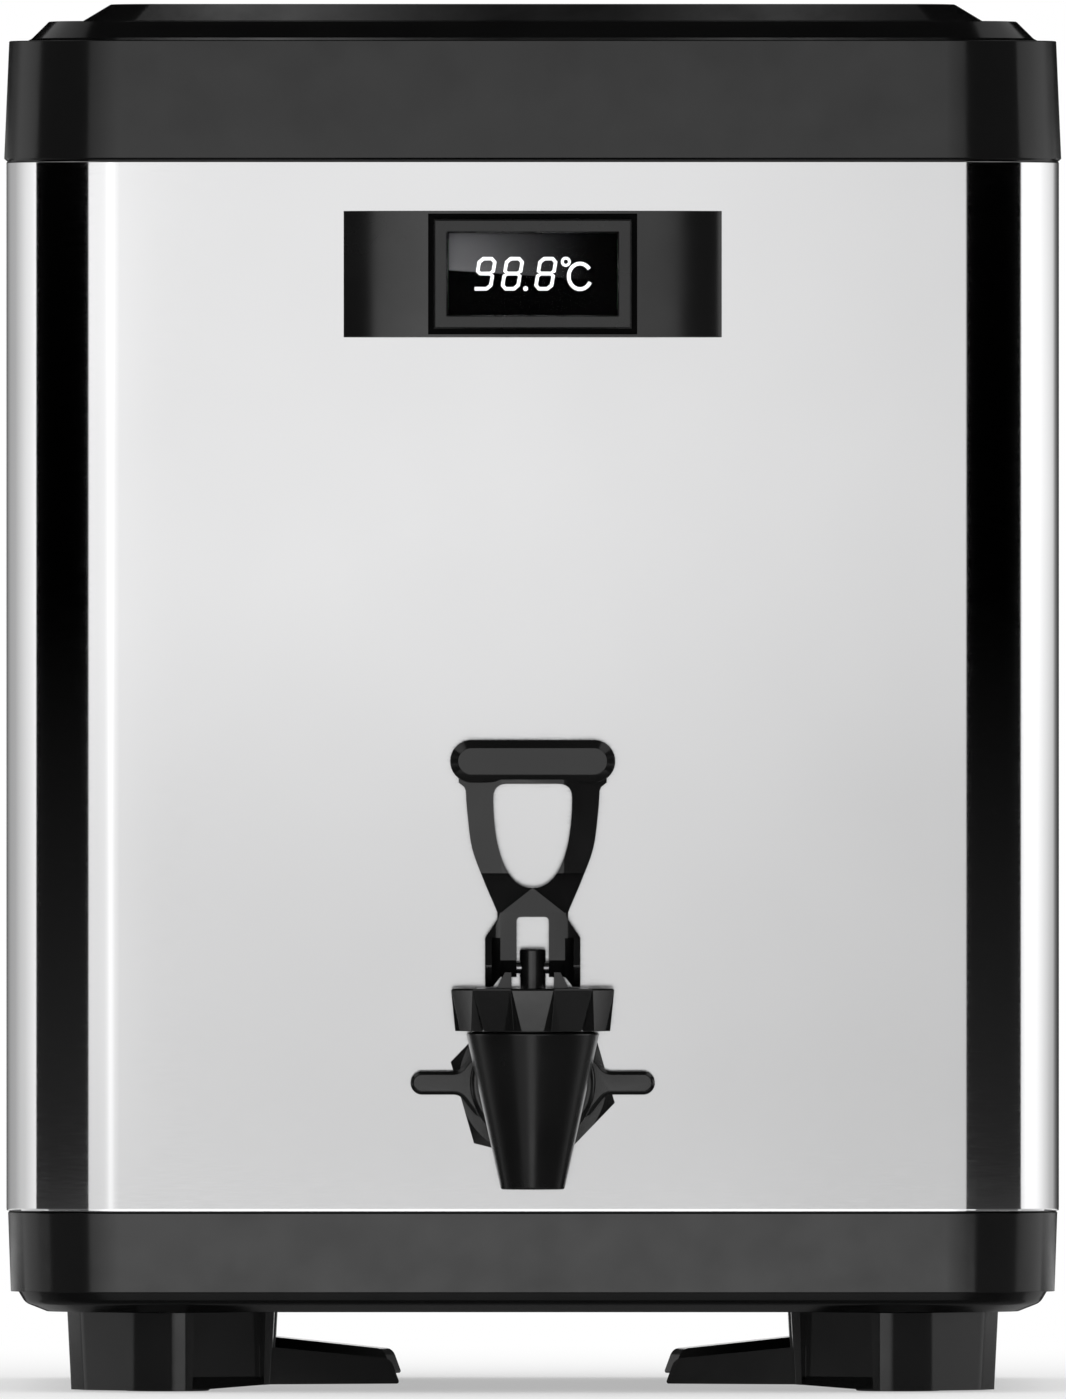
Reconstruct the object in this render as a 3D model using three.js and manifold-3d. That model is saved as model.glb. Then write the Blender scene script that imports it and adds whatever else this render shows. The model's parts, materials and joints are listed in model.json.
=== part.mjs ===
// An insulated hot-drink dispenser of the kind that stands on a milk tea counter: a square polished
// steel shell between a black plastic collar and base, four corner feet, a thermometer display,
// a lift-off lid and a self-closing tap with a pull lever.
// Millimetres, +Z up, the front faces -Y. The origin is on the ground under the middle of the
// whole object's bounding box.
import * as THREE from "three";
import { mergeVertices } from "three/addons/utils/BufferGeometryUtils.js";
import Module from "manifold-3d";

const wasm = await Module();
wasm.setup();

// Clearances
const seat = 0.3; // between pieces that touch
const slip = 0.6; // around a piece that slides or drops in
const overrun = 2; // how far a cutter runs past the face it cuts

// Outer shell: a square steel tube
const shellWidth = 269;
const shellCorner = 29;
const shellWall = 0.8;
const shellHeight = 268;

// Feet and pads
const padRadius = 11;
const padThickness = 2.5;
const padProud = 0.3;
const footHeight = 19.9;
const footInset = 15.9; // from the shell's face to the foot's outer face
const footWidth = 52;
const footCorner = 26.9; // width of the faceted corner
const footBevelStart = 17.2; // its middle facet ends here, the same distance from both outer faces
const footBevelDepth = 3.5;
const footFlat = 3.1; // flat front between the faceted corner and the swept side
const footSweep = 18; // depth of the swept side
const footRelief = 1.4; // rise of the foot's underside to its inner end and arms
const footDraft = 1;
const footPanelDepth = 2;
const footPanelMargin = 2.5;
const footSill = 3.5;
const armLength = 34.7;
const armThickness = 7;
const armTurn = (20 * Math.PI) / 180; // backward
const armRootHeight = 11.6;
const armTipHeight = 8.6;
const armTipRound = 3;
const armTipRake = 2.5;
const screwPlace = 25; // from the foot's outer faces to its screw
const footScrewRadius = 2;
const footScrewLength = 23;
const footScrewHeadRadius = 4;
const footScrewHeadHeight = 2.6;
const hexKeyRadius = 2;
const hexKeyDepth = 1.5;

// Base tray
const baseInset = 0.4; // behind the shell's face at the top
const baseDraft = 0.7;
const baseFaceHeight = 20.2;
const baseRoundHeight = 5.3;
const baseLedge = 1.9; // from the face in to the rounded underside
const baseRoundWidth = 7.4;
const trayWall = 2.5;
const trayFloor = 3;
const spigotLength = 10; // of the lips that stand inside the shell
const bossHeight = 8;
const bossRadius = 5;

// Inner liner and foam
const insulation = 29.5; // from the shell's face to the liner's outer face
const linerCorner = 32;
const linerWall = 1;
const linerRaise = 28; // liner's underside above the foam's underside
const linerRound = 8;
const linerFlange = 13;

// Collar
const collarProud = 0.6;
const collarDraft = 1.3;
const collarSkirtHeight = 30.5;
const collarRim = 4.5;
const collarCove = 1.3;
const collarSlope = 4.4;
const collarStepHeight = 5;
const collarLedge = 7.7;
const collarDeck = 3.6;
const collarSeatDepth = 16; // lid's seat below the collar's top
const collarSeatThickness = 2.7;
const mouthMargin = 0.3; // the collar's mouth outside the liner's bore

// Lid
const lidCorner = 14;
const lidRise = 4.5;
const lidSlopeWidth = 7.4;
const lidWall = 3;
const lidTopThickness = 3;
const lidPocketLength = 134;
const lidPocketWidth = 66;
const lidPocketCorner = 12;
const lidPocketDepth = 13;
const plugGap = 1.4; // plug inside the collar's mouth
const plugDepth = 22; // below the lid's seat
const plugCorner = 29;
const plugRound = 4;
const plugWall = 2.5;
const plugFlangeThickness = 2.5;
const gasketThickness = 2.4;
const gasketWidth = 7;
const gasketLip = 1.2;

// Lid handle
const bailHeight = 7;
const bailBar = 10;
const bailSideGap = 4;
const bailEndGap = 4;
const bailPinRadius = 2;
const bailPinBite = 5; // pin's length in the handle's leg and in the lid's wall

// Lid vent
const ventPlaceShare = 0.59; // of the lid's half width, behind its middle
const ventCapRadius = 11;
const ventCapHeight = 6;
const ventPocketDepth = 8.6;
const ventStemRadius = 2.7;
const ventSealThickness = 1.2;
const ventSealRadius = 7;
const ventBossWall = 2.6;
const ventWaist = 2;

// Display
const displayHeightShare = 0.892; // of the shell's height, to the display's middle
const displayWidth = 96.4;
const displayHeight = 32.2;
const displayEndProud = 1.5;
const displayProud = 9.8;
const displayArcShare = 0.59; // of the housing's bulge that is an even curve, the rest rounds its ends
const displayEndPower = 12; // how late that rounding starts
const frameWidth = 50.5;
const frameHeight = 28;
const frameProud = 0.7;
const frameThickness = 3;
const frameBevel = 0.8;
const frameReveal = 1.35; // channel between the frame and its housing
const windowWidth = 43.2;
const windowHeight = 21;
const windowLap = 1.2; // hidden edge of the window behind its frame
const windowThickness = 1.2;
const housingWall = 2;
const boxWidth = 76;
const boxHeight = 25;
const boxDepth = 14; // behind the shell's face
const lcdThickness = 2;
const boardThickness = 1.6;
const boardWidth = 60;
const boardHeight = 18;
const cellRadius = 10;
const cellThickness = 3.2;
const coverThickness = 2;
const coverScrewRadius = 1.3;
const coverScrewHead = 2.4;
const coverScrewLength = 7;

// Temperature probe
const probeRadius = 2.5;
const probeLength = 26;
const probePlace = 12; // to the right of the middle
const probeRise = 62; // probe's lower end above the liner's underside
const leadRadius = 1.4;
const leadSides = 8;

// Outlet and union
const shankHeight = 33; // tap's axis above the shell's lower edge
const outletRadius = 10;
const outletBore = 7;
const outletReach = 15.5; // beyond the shell's face
const washerThickness = 2;
const washerRadius = 17.5;
const hexFlats = 37.3;
const hexThickness = 6;
const hexTurn = (-14 * Math.PI) / 180;
const wingSpan = 62.2;
const wingThickness = 6;
const wingDepth = 6;
const wingRootShare = 0.55; // of the hub's radius, half the wing's height where it joins
const wingHub = 16;
const wingLip = 2.5;
const sealThickness = 1.5;

// Tap body
const tapReach = 44; // spout's axis beyond the shell's face
const spoutMouthRadius = 8.1;
const spoutBore = 6;
const spoutTopRadius = 17;
const spoutBelow = 26.8; // spout's mouth below the tap's axis
const spoutAbove = 13.15; // top of the cone above it
const mouthChamfer = 0.5;
const chamberRadius = 10.5;
const seatBelow = 7.1; // valve seat below the tap's axis
const neckRadius = 15.4;
const neckHeight = 7;
const shankRadius = 7.6;
const shankBore = 5.2;
const shankFlange = 2;

// Bonnet
const bonnetRadius = 21.4;
const bonnetFootRadius = 19.9;
const bonnetHeight = 10.9;
const bonnetTop = 3;
const bonnetLands = 12;
const landTopShare = 0.96; // of one land's pitch
const landFootShare = 0.55;
const fluteDepth = 1.7;
const lugInner = 5.4;
const lugTop = 7.1;
const lugFoot = 9.1;
const lugHeight = 4.1;
const lugDepth = 1.7;

// Valve
const stemRadius = 3.3;
const pinRise = 5.1; // lever pin above the bonnet
const stemAbovePin = 4.8;
const pinRadius = 1.4;
const cupRadius = 8.6;
const cupHeight = 6.7;
const cupBevel = 1.5;
const stemInCup = 3.7;
const springRadius = 5.6;
const springWire = 0.6;
const springTurns = 6;
const stemSealThickness = 1.8;
const stemSealWidth = 2.2;

// Lever
const liftPerRadian = 3.18;
const leverTilt = (75 * Math.PI) / 180;
const forkHalf = 12.1;
const forkFaceHalf = 8.2;
const forkSlotHalf = 4.1;
const forkDepth = 11;
const forkHeight = 7.7; // straight cheeks above the pin
const forkSlotTop = 13;
const forkHeel = 2.3; // inner cheeks below the pin
const forkLip = 2; // lower edge of the front face above the pin
const heelBevel = 3.3;
const cheekToe = 1.7; // width of the cam feet
const forkChamfer = 2.4;
const neckLow = 12.4; // lower end of the fork's neck
const neckRise = 14.1;
const neckHalf = 9;
const gableRise = 19.6; // top of the fork's thicker front
const gableHalf = 8;
const armSlant = (13 * Math.PI) / 180; // of the arms' front, outward
const armSlantFrom = 8; // from the middle
const armFootSlant = (18 * Math.PI) / 180; // the same below armFootTop
const armFootSlantFrom = 2;
const armFootTop = 24.1;
const armFlare = 1.8; // widening where the arms meet the bar
const loopRise = 20.4;
const loopTop = 46.8;
const loopHalf = 17;
const loopDepth = 8;
const loopHoleHalf = 10;
const holeRoundShare = 0.35;
const holeFootShare = 0.73;
const holeFlankShare = 0.42;
const heelRoundShare = 0.75; // of the fork's half depth, where the flat heel ends at the back
const gripHalf = 21;
const gripHeight = 10.9;
const gripDepth = 10;
const gripBevel = 2.1;

// Heights and half widths that follow from the sizes above
const shellHalf = shellWidth / 2;
const shellInner = shellHalf - shellWall;
const lipOuter = shellInner - seat;
const lipInner = lipOuter - trayWall;
const baseUnder = padProud + footHeight + seat;
const baseFloor = baseUnder + trayFloor;
const baseTop = baseUnder + baseRoundHeight + baseFaceHeight;
const shellBottom = baseTop + seat;
const shellTop = shellBottom + shellHeight;
const foamUnder = baseFloor + bossHeight + seat;
const linerHalf = shellHalf - insulation;
const linerInner = linerHalf - linerWall;
const linerUnder = foamUnder + linerRaise;
const collarBottom = shellTop + seat;
const collarOuter = shellHalf + collarProud;
const collarRimTop = collarBottom + collarSkirtHeight;
const collarTop = collarRimTop + collarStepHeight;
const collarRimInner = collarOuter - collarDraft - collarRim;
const collarStepOuter = collarRimInner - collarCove - collarSlope;
const collarInner = collarStepOuter - collarLedge;
const collarSeat = collarTop - collarSeatDepth;
const mouthHalf = linerInner + mouthMargin;
const mouthCorner = linerCorner - linerWall + mouthMargin;
const flangeTop = collarSeat - collarSeatThickness - seat;
const foamTop = flangeTop - linerWall - seat;
const lidHalf = collarInner - slip;
const lidTop = collarTop + lidRise;
const lidBottom = collarSeat + seat;
const lidInner = lidHalf - lidWall;
const ventPlace = ventPlaceShare * lidHalf;
const gasketTop = lidBottom + gasketThickness;
const flangeUnder = gasketTop + seat;
const plugHalf = mouthHalf - plugGap;
const plugBottom = collarSeat - plugDepth;
const pocketFloor = lidTop - lidPocketDepth;
const shankZ = shellBottom + shankHeight;
const displayZ = shellBottom + displayHeightShare * shellHeight;

// Faceting
const cornerSteps = 5;
const roundSteps = 24;
const smallSteps = 16;
const curlSteps = 6;
const roundFacets = 3;

// Solids: conversion to and from the boolean library
function solidOf(geometry) {
  const bare = (geometry.index ? geometry.toNonIndexed() : geometry.clone()).deleteAttribute("normal");
  bare.deleteAttribute("uv");
  const merged = mergeVertices(bare, 1e-4);
  const triVerts = new Uint32Array(merged.index.array);
  return new wasm.Manifold(
    new wasm.Mesh({ numProp: 3, vertProperties: merged.attributes.position.array, triVerts }),
  );
}

function geometryOf(solid) {
  const mesh = solid.getMesh();
  const points = new Float32Array(mesh.numVert * 3);
  for (let i = 0; i < mesh.numVert; i++) {
    points.set(mesh.vertProperties.subarray(i * mesh.numProp, i * mesh.numProp + 3), i * 3);
  }
  const geometry = new THREE.BufferGeometry();
  geometry.setAttribute("position", new THREE.BufferAttribute(points, 3));
  geometry.setIndex(new THREE.BufferAttribute(mesh.triVerts, 1));
  geometry.computeVertexNormals();
  return geometry;
}

const cut = (body, ...tools) =>
  geometryOf(tools.reduce((rest, tool) => rest.subtract(solidOf(tool)), solidOf(body)));
const join = (body, ...others) =>
  geometryOf(others.reduce((sum, other) => sum.add(solidOf(other)), solidOf(body)));
const meet = (a, b) => geometryOf(solidOf(a).intersect(solidOf(b)));

// A loft through rings of equal count. Open lofts are capped at both ends, closed ones join up.
function loft(rings, closed = false) {
  const count = rings[0].length;
  const points = rings.flat();
  const faces = [];
  const bands = closed ? rings.length : rings.length - 1;
  for (let i = 0; i < bands; i++) {
    for (let j = 0; j < count; j++) {
      const a = i * count + j;
      const b = i * count + ((j + 1) % count);
      const c = ((i + 1) % rings.length) * count + ((j + 1) % count);
      const d = ((i + 1) % rings.length) * count + j;
      faces.push([a, b, c], [a, c, d]);
    }
  }
  if (!closed) {
    const flat = (ring) => ring.map((p) => new THREE.Vector2(p.x, p.y));
    const last = (rings.length - 1) * count;
    for (const [a, b, c] of THREE.ShapeUtils.triangulateShape(flat(rings[0]), [])) {
      faces.push([a, c, b]);
    }
    for (const [a, b, c] of THREE.ShapeUtils.triangulateShape(flat(rings.at(-1)), [])) {
      faces.push([last + a, last + b, last + c]);
    }
  }
  const volume = faces.reduce(
    (sum, [a, b, c]) => sum + points[a].dot(points[b].clone().cross(points[c])),
    0,
  );
  const index = faces.flatMap(([a, b, c]) => (volume < 0 ? [a, c, b] : [a, b, c]));
  const geometry = new THREE.BufferGeometry().setFromPoints(points);
  geometry.setIndex(index);
  geometry.computeVertexNormals();
  return geometry;
}

// A ring in the shape of a rectangle with round corners
function rectangleRing(halfX, halfY, corner, z, steps = cornerSteps) {
  const ring = [];
  for (let quarter = 0; quarter < 4; quarter++) {
    const signX = quarter === 0 || quarter === 3 ? 1 : -1;
    const signY = quarter < 2 ? 1 : -1;
    for (let i = 0; i <= steps; i++) {
      const angle = ((quarter + i / steps) * Math.PI) / 2;
      const x = signX * (halfX - corner) + corner * Math.cos(angle);
      const y = signY * (halfY - corner) + corner * Math.sin(angle);
      ring.push(new THREE.Vector3(x, y, z));
    }
  }
  return ring;
}

// A profile of [half width, corner radius, height] carried round a square, as a lathe is round a circle
const squareLoft = (profile, closed = false) =>
  loft(profile.map(([half, corner, z]) => rectangleRing(half, half, corner, z)), closed);
const squareRing = (profile) => squareLoft(profile, true);
const roundAngles = () =>
  Array.from({ length: roundFacets + 1 }, (_, i) => (i / roundFacets) * (Math.PI / 2));
const shellCornerAt = (half) => shellCorner - (shellHalf - half);
const outerPoint = (half, z) => [half, shellCornerAt(half), z];

// A round profile of [radius, height] about +Z
function lathe(profile, steps = roundSteps) {
  const points = profile.map(([radius, z]) => new THREE.Vector2(radius, z));
  return new THREE.LatheGeometry(points, steps).rotateX(Math.PI / 2);
}
const rod = (radius, low, high, steps = roundSteps) =>
  lathe([[0, low], [radius, low], [radius, high], [0, high]], steps);
const tube = (outer, inner, low, high, steps = roundSteps) =>
  lathe([[inner, low], [outer, low], [outer, high], [inner, high], [inner, low]], steps);

const block = (x0, x1, y0, y1, z0, z1) =>
  new THREE.BoxGeometry(x1 - x0, y1 - y0, z1 - z0).translate(
    (x0 + x1) / 2,
    (y0 + y1) / 2,
    (z0 + z1) / 2,
  );

function outline(points) {
  return new THREE.Shape(points.map(([x, y]) => new THREE.Vector2(x, y)));
}
const extrude = (shape, depth, curveSegments = smallSteps) =>
  new THREE.ExtrudeGeometry(shape, { depth, bevelEnabled: false, curveSegments });

// A shape drawn in X and Z, as seen from the front, pushed from y0 to y1
const frontExtrude = (shape, y0, y1, curveSegments = smallSteps) =>
  extrude(shape, y1 - y0, curveSegments).rotateX(Math.PI / 2).translate(0, y1, 0);
// A shape drawn in Y and Z, as seen from the right, pushed from x0 to x1
const sideExtrude = (shape, x0, x1, curveSegments = smallSteps) =>
  extrude(shape, x1 - x0, curveSegments).rotateX(Math.PI / 2).rotateZ(Math.PI / 2).translate(x0, 0, 0);

// Materials
const paint = (color, roughness, metalness = 0) =>
  new THREE.MeshStandardMaterial({ color, roughness, metalness });
const steel = paint(0xd9dadb, 0.22, 1);
const innerSteel = paint(0xc4c6c8, 0.35, 1);
const blackGloss = paint(0x1b1b1c, 0.25);
const blackSatin = paint(0x161617, 0.4);
const rubber = paint(0x202020, 0.8);
const silicone = paint(0xd8d4cc, 0.55);
const foam = paint(0xe6d79a, 0.9);
const glass = paint(0x050506, 0.05);
const panel = paint(0x303a34, 0.4);
const board = paint(0x1f6b3a, 0.6);
const screwSteel = paint(0xa9abad, 0.35, 1);

function mesh(name, geometry, material) {
  const made = new THREE.Mesh(geometry, material);
  made.name = name;
  return made;
}

// Shell and everything fixed inside it
function outerShell() {
  const walls = squareRing([
    outerPoint(shellHalf, shellBottom),
    outerPoint(shellHalf, shellTop),
    outerPoint(shellInner, shellTop),
    outerPoint(shellInner, shellBottom),
  ]);
  const tapHole = rod(outletRadius + slip, 0, shellWall + 2 * overrun)
    .rotateX(Math.PI / 2)
    .translate(0, -shellInner + overrun, shankZ);
  const displayHole = block(
    -boxWidth / 2 - slip,
    boxWidth / 2 + slip,
    -shellHalf - overrun,
    -shellInner + overrun,
    displayZ - boxHeight / 2 - slip,
    displayZ + boxHeight / 2 + slip,
  );
  return cut(walls, tapHole, displayHole);
}

function baseTray() {
  const faceBottom = baseUnder + baseRoundHeight;
  const topHalf = shellHalf - baseInset;
  const faceHalf = topHalf - baseDraft;
  const roundPoints = roundAngles().map((angle) => {
    return outerPoint(
      faceHalf - baseLedge - baseRoundWidth * (1 - Math.sin(angle)),
      faceBottom - baseRoundHeight * Math.cos(angle),
    );
  });
  const tray = squareLoft([
    ...roundPoints,
    outerPoint(faceHalf, faceBottom),
    outerPoint(topHalf, baseTop),
    outerPoint(lipOuter, baseTop),
    outerPoint(lipOuter, baseTop + spigotLength),
    outerPoint(lipInner, baseTop + spigotLength),
    outerPoint(lipInner, baseFloor),
  ]);
  const solid = corners((x, y) => rod(bossRadius, baseFloor - overrun, baseFloor + bossHeight, smallSteps)
    .translate(x, y, 0));
  const holes = corners((x, y) => rod(footScrewRadius + seat, baseUnder - overrun,
    baseFloor + bossHeight + overrun, smallSteps).translate(x, y, 0));
  return cut(join(tray, ...solid), ...holes);
}

// The four places of the foot screws
function corners(make) {
  const place = shellHalf - footInset - screwPlace;
  return [[-1, -1], [1, -1], [1, 1], [-1, 1]].map(([sx, sy]) => make(sx * place, sy * place));
}

function linerOuterProfile(grow, top) {
  const half = linerHalf + grow;
  const corner = linerCorner + grow;
  const points = roundAngles().map((angle) => {
    const inset = linerRound * (1 - Math.sin(angle));
    return [half - inset, corner - inset, linerUnder - grow + linerRound * (1 - Math.cos(angle))];
  });
  return [...points, [half, corner, top]];
}

function innerLiner() {
  const flangeHalf = linerHalf + linerFlange;
  const flangeCorner = linerCorner + linerFlange;
  const outside = linerOuterProfile(0, flangeTop - linerWall);
  const inside = linerOuterProfile(-linerWall, flangeTop).reverse();
  const pan = squareLoft([
    ...outside,
    [flangeHalf, flangeCorner, flangeTop - linerWall],
    [flangeHalf, flangeCorner, flangeTop],
    ...inside,
  ]);
  const port = rod(outletBore, 0, insulation, smallSteps)
    .rotateX(Math.PI / 2)
    .translate(0, -linerHalf + insulation / 2, shankZ);
  return cut(pan, port);
}

function foamJacket() {
  const wide = lipOuter;
  const narrow = lipInner - seat;
  const body = squareLoft([
    outerPoint(narrow, foamUnder),
    outerPoint(narrow, baseTop + spigotLength + seat),
    outerPoint(wide, baseTop + spigotLength + seat),
    outerPoint(wide, collarBottom - spigotLength - seat),
    outerPoint(narrow, collarBottom - spigotLength - seat),
    outerPoint(narrow, foamTop),
  ]);
  const hollow = squareLoft(linerOuterProfile(seat, foamTop + overrun));
  const pipe = rod(outletRadius + seat, 0, insulation + 2 * overrun, smallSteps)
    .rotateX(Math.PI / 2)
    .translate(0, -linerHalf + overrun, shankZ);
  const pocket = block(
    -boxWidth / 2 - seat,
    boxWidth / 2 + seat,
    -shellHalf - overrun,
    -shellHalf + boxDepth + coverThickness + 2 * seat + coverScrewHead,
    displayZ - boxHeight / 2 - seat,
    displayZ + boxHeight / 2 + seat,
  );
  const slot = block(
    probePlace - probeRadius - seat,
    probePlace + probeRadius + seat,
    -linerHalf - 2 * probeRadius - 2 * seat,
    -linerHalf + overrun,
    linerUnder + probeRise - seat,
    displayZ + 2 * leadRadius,
  );
  const leadWay = block(
    probePlace - leadRadius - seat,
    probePlace + leadRadius + seat,
    -shellHalf + boxDepth,
    -linerHalf + overrun,
    displayZ - boxHeight,
    displayZ + 2 * leadRadius,
  );
  return cut(body, hollow, pipe, pocket, slot, leadWay);
}

function topCollar() {
  return squareRing([
    outerPoint(collarOuter, collarBottom),
    outerPoint(collarOuter - collarDraft, collarRimTop),
    outerPoint(collarRimInner, collarRimTop),
    outerPoint(collarRimInner - collarCove, collarRimTop + collarCove / 2),
    outerPoint(collarStepOuter, collarTop),
    [collarInner, lidCorner + slip, collarTop],
    [collarInner, lidCorner + slip, collarSeat],
    [mouthHalf, mouthCorner, collarSeat],
    [mouthHalf, mouthCorner, collarSeat - collarSeatThickness],
    [collarInner + collarDeck, lidCorner + collarDeck, collarSeat - collarSeatThickness],
    [collarInner + collarDeck, lidCorner + collarDeck, collarRimTop - collarDeck],
    outerPoint(lipInner, collarRimTop - collarDeck),
    outerPoint(lipInner, collarBottom - spigotLength),
    outerPoint(lipOuter, collarBottom - spigotLength),
    outerPoint(lipOuter, collarBottom),
  ]);
}

// Feet: one is built at the front left corner and the others are turned copies
const footOuter = shellHalf - footInset;
const footTop = baseUnder - seat;
const footBottom = padProud;
const sweptStart = footCorner + footFlat;

// Half of the plan is drawn from the front flat to the inner end, and mirrored about the diagonal.
// The relief lifts the points at the inner end.
function footPlan(inset, z, relief) {
  const end = footWidth - inset;
  const half = [
    [footBevelStart, footBevelDepth + inset, z],
    [footCorner, inset, z],
    [sweptStart, inset, z],
    [end, footSweep, z + relief],
  ];
  const mirrored = half.map(([u, v, height]) => [v, u, height]).reverse();
  const points = [...half, [end, end, z + relief], ...mirrored];
  return points.map(([u, v, height]) => new THREE.Vector3(u - footOuter, v - footOuter, height));
}

// A panel sunk in a swept side, with a sill that slopes out at its foot. The side runs between two
// points of the plan, with the foot on its left.
function footPanel(from, to) {
  const run = Math.hypot(to[0] - from[0], to[1] - from[1]);
  const heading = Math.atan2(to[1] - from[1], to[0] - from[0]);
  const section = outline([
    [-overrun, footBottom - overrun],
    [-overrun + footDraft, footBottom - overrun],
    [footDraft, footBottom + footSill / 2],
    [footPanelDepth, footBottom + footSill],
    [footPanelDepth, footTop + overrun],
    [-overrun, footTop + overrun],
  ]);
  return sideExtrude(section, footPanelMargin, run - footPanelMargin)
    .rotateZ(heading)
    .translate(from[0] - footOuter, from[1] - footOuter, 0);
}

// An arm, drawn from the foot's inner end, and its mirror image about the diagonal
function gussetArm(mirrored) {
  const start = -armThickness;
  const tip = armLength;
  const shape = new THREE.Shape();
  shape.moveTo(start, footBottom + footRelief);
  shape.lineTo(tip, footBottom + footRelief);
  shape.lineTo(tip - armTipRake, footBottom + armTipHeight - armTipRound);
  shape.quadraticCurveTo(
    tip - armTipRake,
    footBottom + armTipHeight,
    tip - armTipRake - armTipRound,
    footBottom + armTipHeight,
  );
  shape.lineTo(start, footBottom + armRootHeight);
  const place = footSweep + footDraft;
  const back = mirrored ? 0 : armThickness;
  const arm = frontExtrude(shape, back - armThickness, back, curlSteps / 2);
  if (mirrored) arm.rotateZ(Math.PI / 2 - armTurn).translate(place, footWidth, 0);
  else arm.rotateZ(armTurn).translate(footWidth, place, 0);
  return arm.translate(-footOuter, -footOuter, 0);
}

function footBody() {
  const post = loft([footPlan(footDraft, footBottom, footRelief), footPlan(0, footTop, 0)]);
  const place = screwPlace - footOuter;
  const headTop = padThickness + 2 * seat + footScrewHeadHeight + seat;
  const holes = [
    rod(padRadius + seat, footBottom - overrun, padThickness + seat),
    rod(footScrewHeadRadius + seat, footBottom - overrun, headTop, smallSteps),
    rod(footScrewRadius + seat, footBottom - overrun, footTop + overrun, smallSteps),
  ].map((hole) => hole.translate(place, place, 0));
  const panels = [
    footPanel([sweptStart, 0], [footWidth, footSweep]),
    footPanel([footSweep, footWidth], [0, sweptStart]),
  ];
  return join(cut(post, ...panels, ...holes), gussetArm(false), gussetArm(true));
}

function footScrew() {
  const head = padThickness + 2 * seat;
  const body = lathe([
    [0, head],
    [footScrewHeadRadius, head],
    [footScrewHeadRadius, head + footScrewHeadHeight],
    [footScrewRadius, head + footScrewHeadHeight],
    [footScrewRadius, head + footScrewLength],
    [0, head + footScrewLength],
  ], smallSteps);
  const key = rod(hexKeyRadius, head - overrun, head + hexKeyDepth, 6);
  return cut(body, key);
}

function feet() {
  const group = new THREE.Group();
  const place = screwPlace - footOuter;
  ["front_left", "front_right", "rear_right", "rear_left"].forEach((corner, i) => {
    const foot = new THREE.Group();
    foot.rotation.z = (i * Math.PI) / 2;
    foot.add(mesh(`${corner}_foot`, footBody(), blackSatin));
    const pad = mesh(`${corner}_pad`, rod(padRadius, 0, padThickness), rubber);
    pad.position.set(place, place, 0);
    const screw = mesh(`${corner}_foot_screw`, footScrew(), screwSteel);
    screw.position.set(place, place, 0);
    foot.add(pad, screw);
    group.add(foot);
  });
  return group;
}

// Lid
const bailHalfX = lidPocketLength / 2 - bailSideGap;
const bailAxisY = lidPocketWidth / 2 - bailEndGap - bailBar / 2;
const bailFrontY = -lidPocketWidth / 2 + bailEndGap;
const bailZ = lidTop - bailHeight / 2 - bailEndGap / 2;
const ventPocketFloor = lidTop - ventPocketDepth;

function lidTopCover() {
  const underside = lidTop - lidTopThickness;
  const outside = squareLoft([
    [lidHalf, lidCorner, lidBottom],
    [lidHalf, lidCorner, collarTop],
    [lidHalf - lidSlopeWidth, lidCorner - lidSlopeWidth / 2, lidTop],
  ]);
  const hollow = squareLoft([
    [lidInner, lidCorner - lidWall, lidBottom - overrun],
    [lidInner, lidCorner - lidWall, collarTop - lidTopThickness],
    [lidInner - lidSlopeWidth, lidCorner - lidWall - lidSlopeWidth / 2, underside],
  ]);
  const halfX = lidPocketLength / 2;
  const halfY = lidPocketWidth / 2;
  const wellX = halfX + lidWall + bailPinBite;
  const wellY = halfY + lidWall;
  const well = loft([pocketFloor - lidTopThickness, lidTop].map((z) =>
    rectangleRing(wellX, wellY, lidPocketCorner, z)));
  const pocket = loft([pocketFloor, lidTop + overrun].map((z) =>
    rectangleRing(halfX, halfY, lidPocketCorner, z)));
  const ventWell = rod(ventCapRadius + slip + lidWall, ventPocketFloor - lidTopThickness, lidTop)
    .translate(0, ventPlace, 0);
  const ventPocket = rod(ventCapRadius + slip, ventPocketFloor, lidTop + overrun)
    .translate(0, ventPlace, 0);
  const ventHole = rod(ventStemRadius + slip, ventPocketFloor - lidTopThickness - overrun,
    lidTop, smallSteps).translate(0, ventPlace, 0);
  const pinHoles = [-1, 1].map((side) => bailPin(side, seat));
  return cut(join(cut(outside, hollow), well, ventWell), pocket, ventPocket, ventHole, ...pinHoles);
}

// A hinge pin between the pocket's end wall and the handle's leg, or the hole for it
function bailPin(side, grow) {
  const inner = bailHalfX - bailPinBite - grow;
  const outer = lidPocketLength / 2 + bailPinBite + grow;
  const pin = rod(bailPinRadius + grow, inner, outer, smallSteps).rotateY((side * Math.PI) / 2);
  return pin.translate(0, bailAxisY, bailZ);
}

function lidHandle() {
  const low = bailZ - bailHeight / 2;
  const high = bailZ + bailHeight / 2;
  const middleY = (bailFrontY + bailAxisY + bailBar / 2) / 2;
  const reach = (bailAxisY + bailBar / 2 - bailFrontY) / 2;
  const outside = loft([low, high].map((z) => rectangleRing(bailHalfX, reach, bailBar / 2, z)));
  const opening = loft(
    [low - overrun, high + overrun].map((z) =>
      rectangleRing(bailHalfX - bailBar, reach, bailBar / 2, z)),
  ).translate(0, bailBar, 0);
  const holes = [-1, 1].map((side) => bailPin(side, seat).translate(0, -middleY, 0));
  return cut(outside, opening, ...holes).translate(0, middleY, 0);
}

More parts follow.
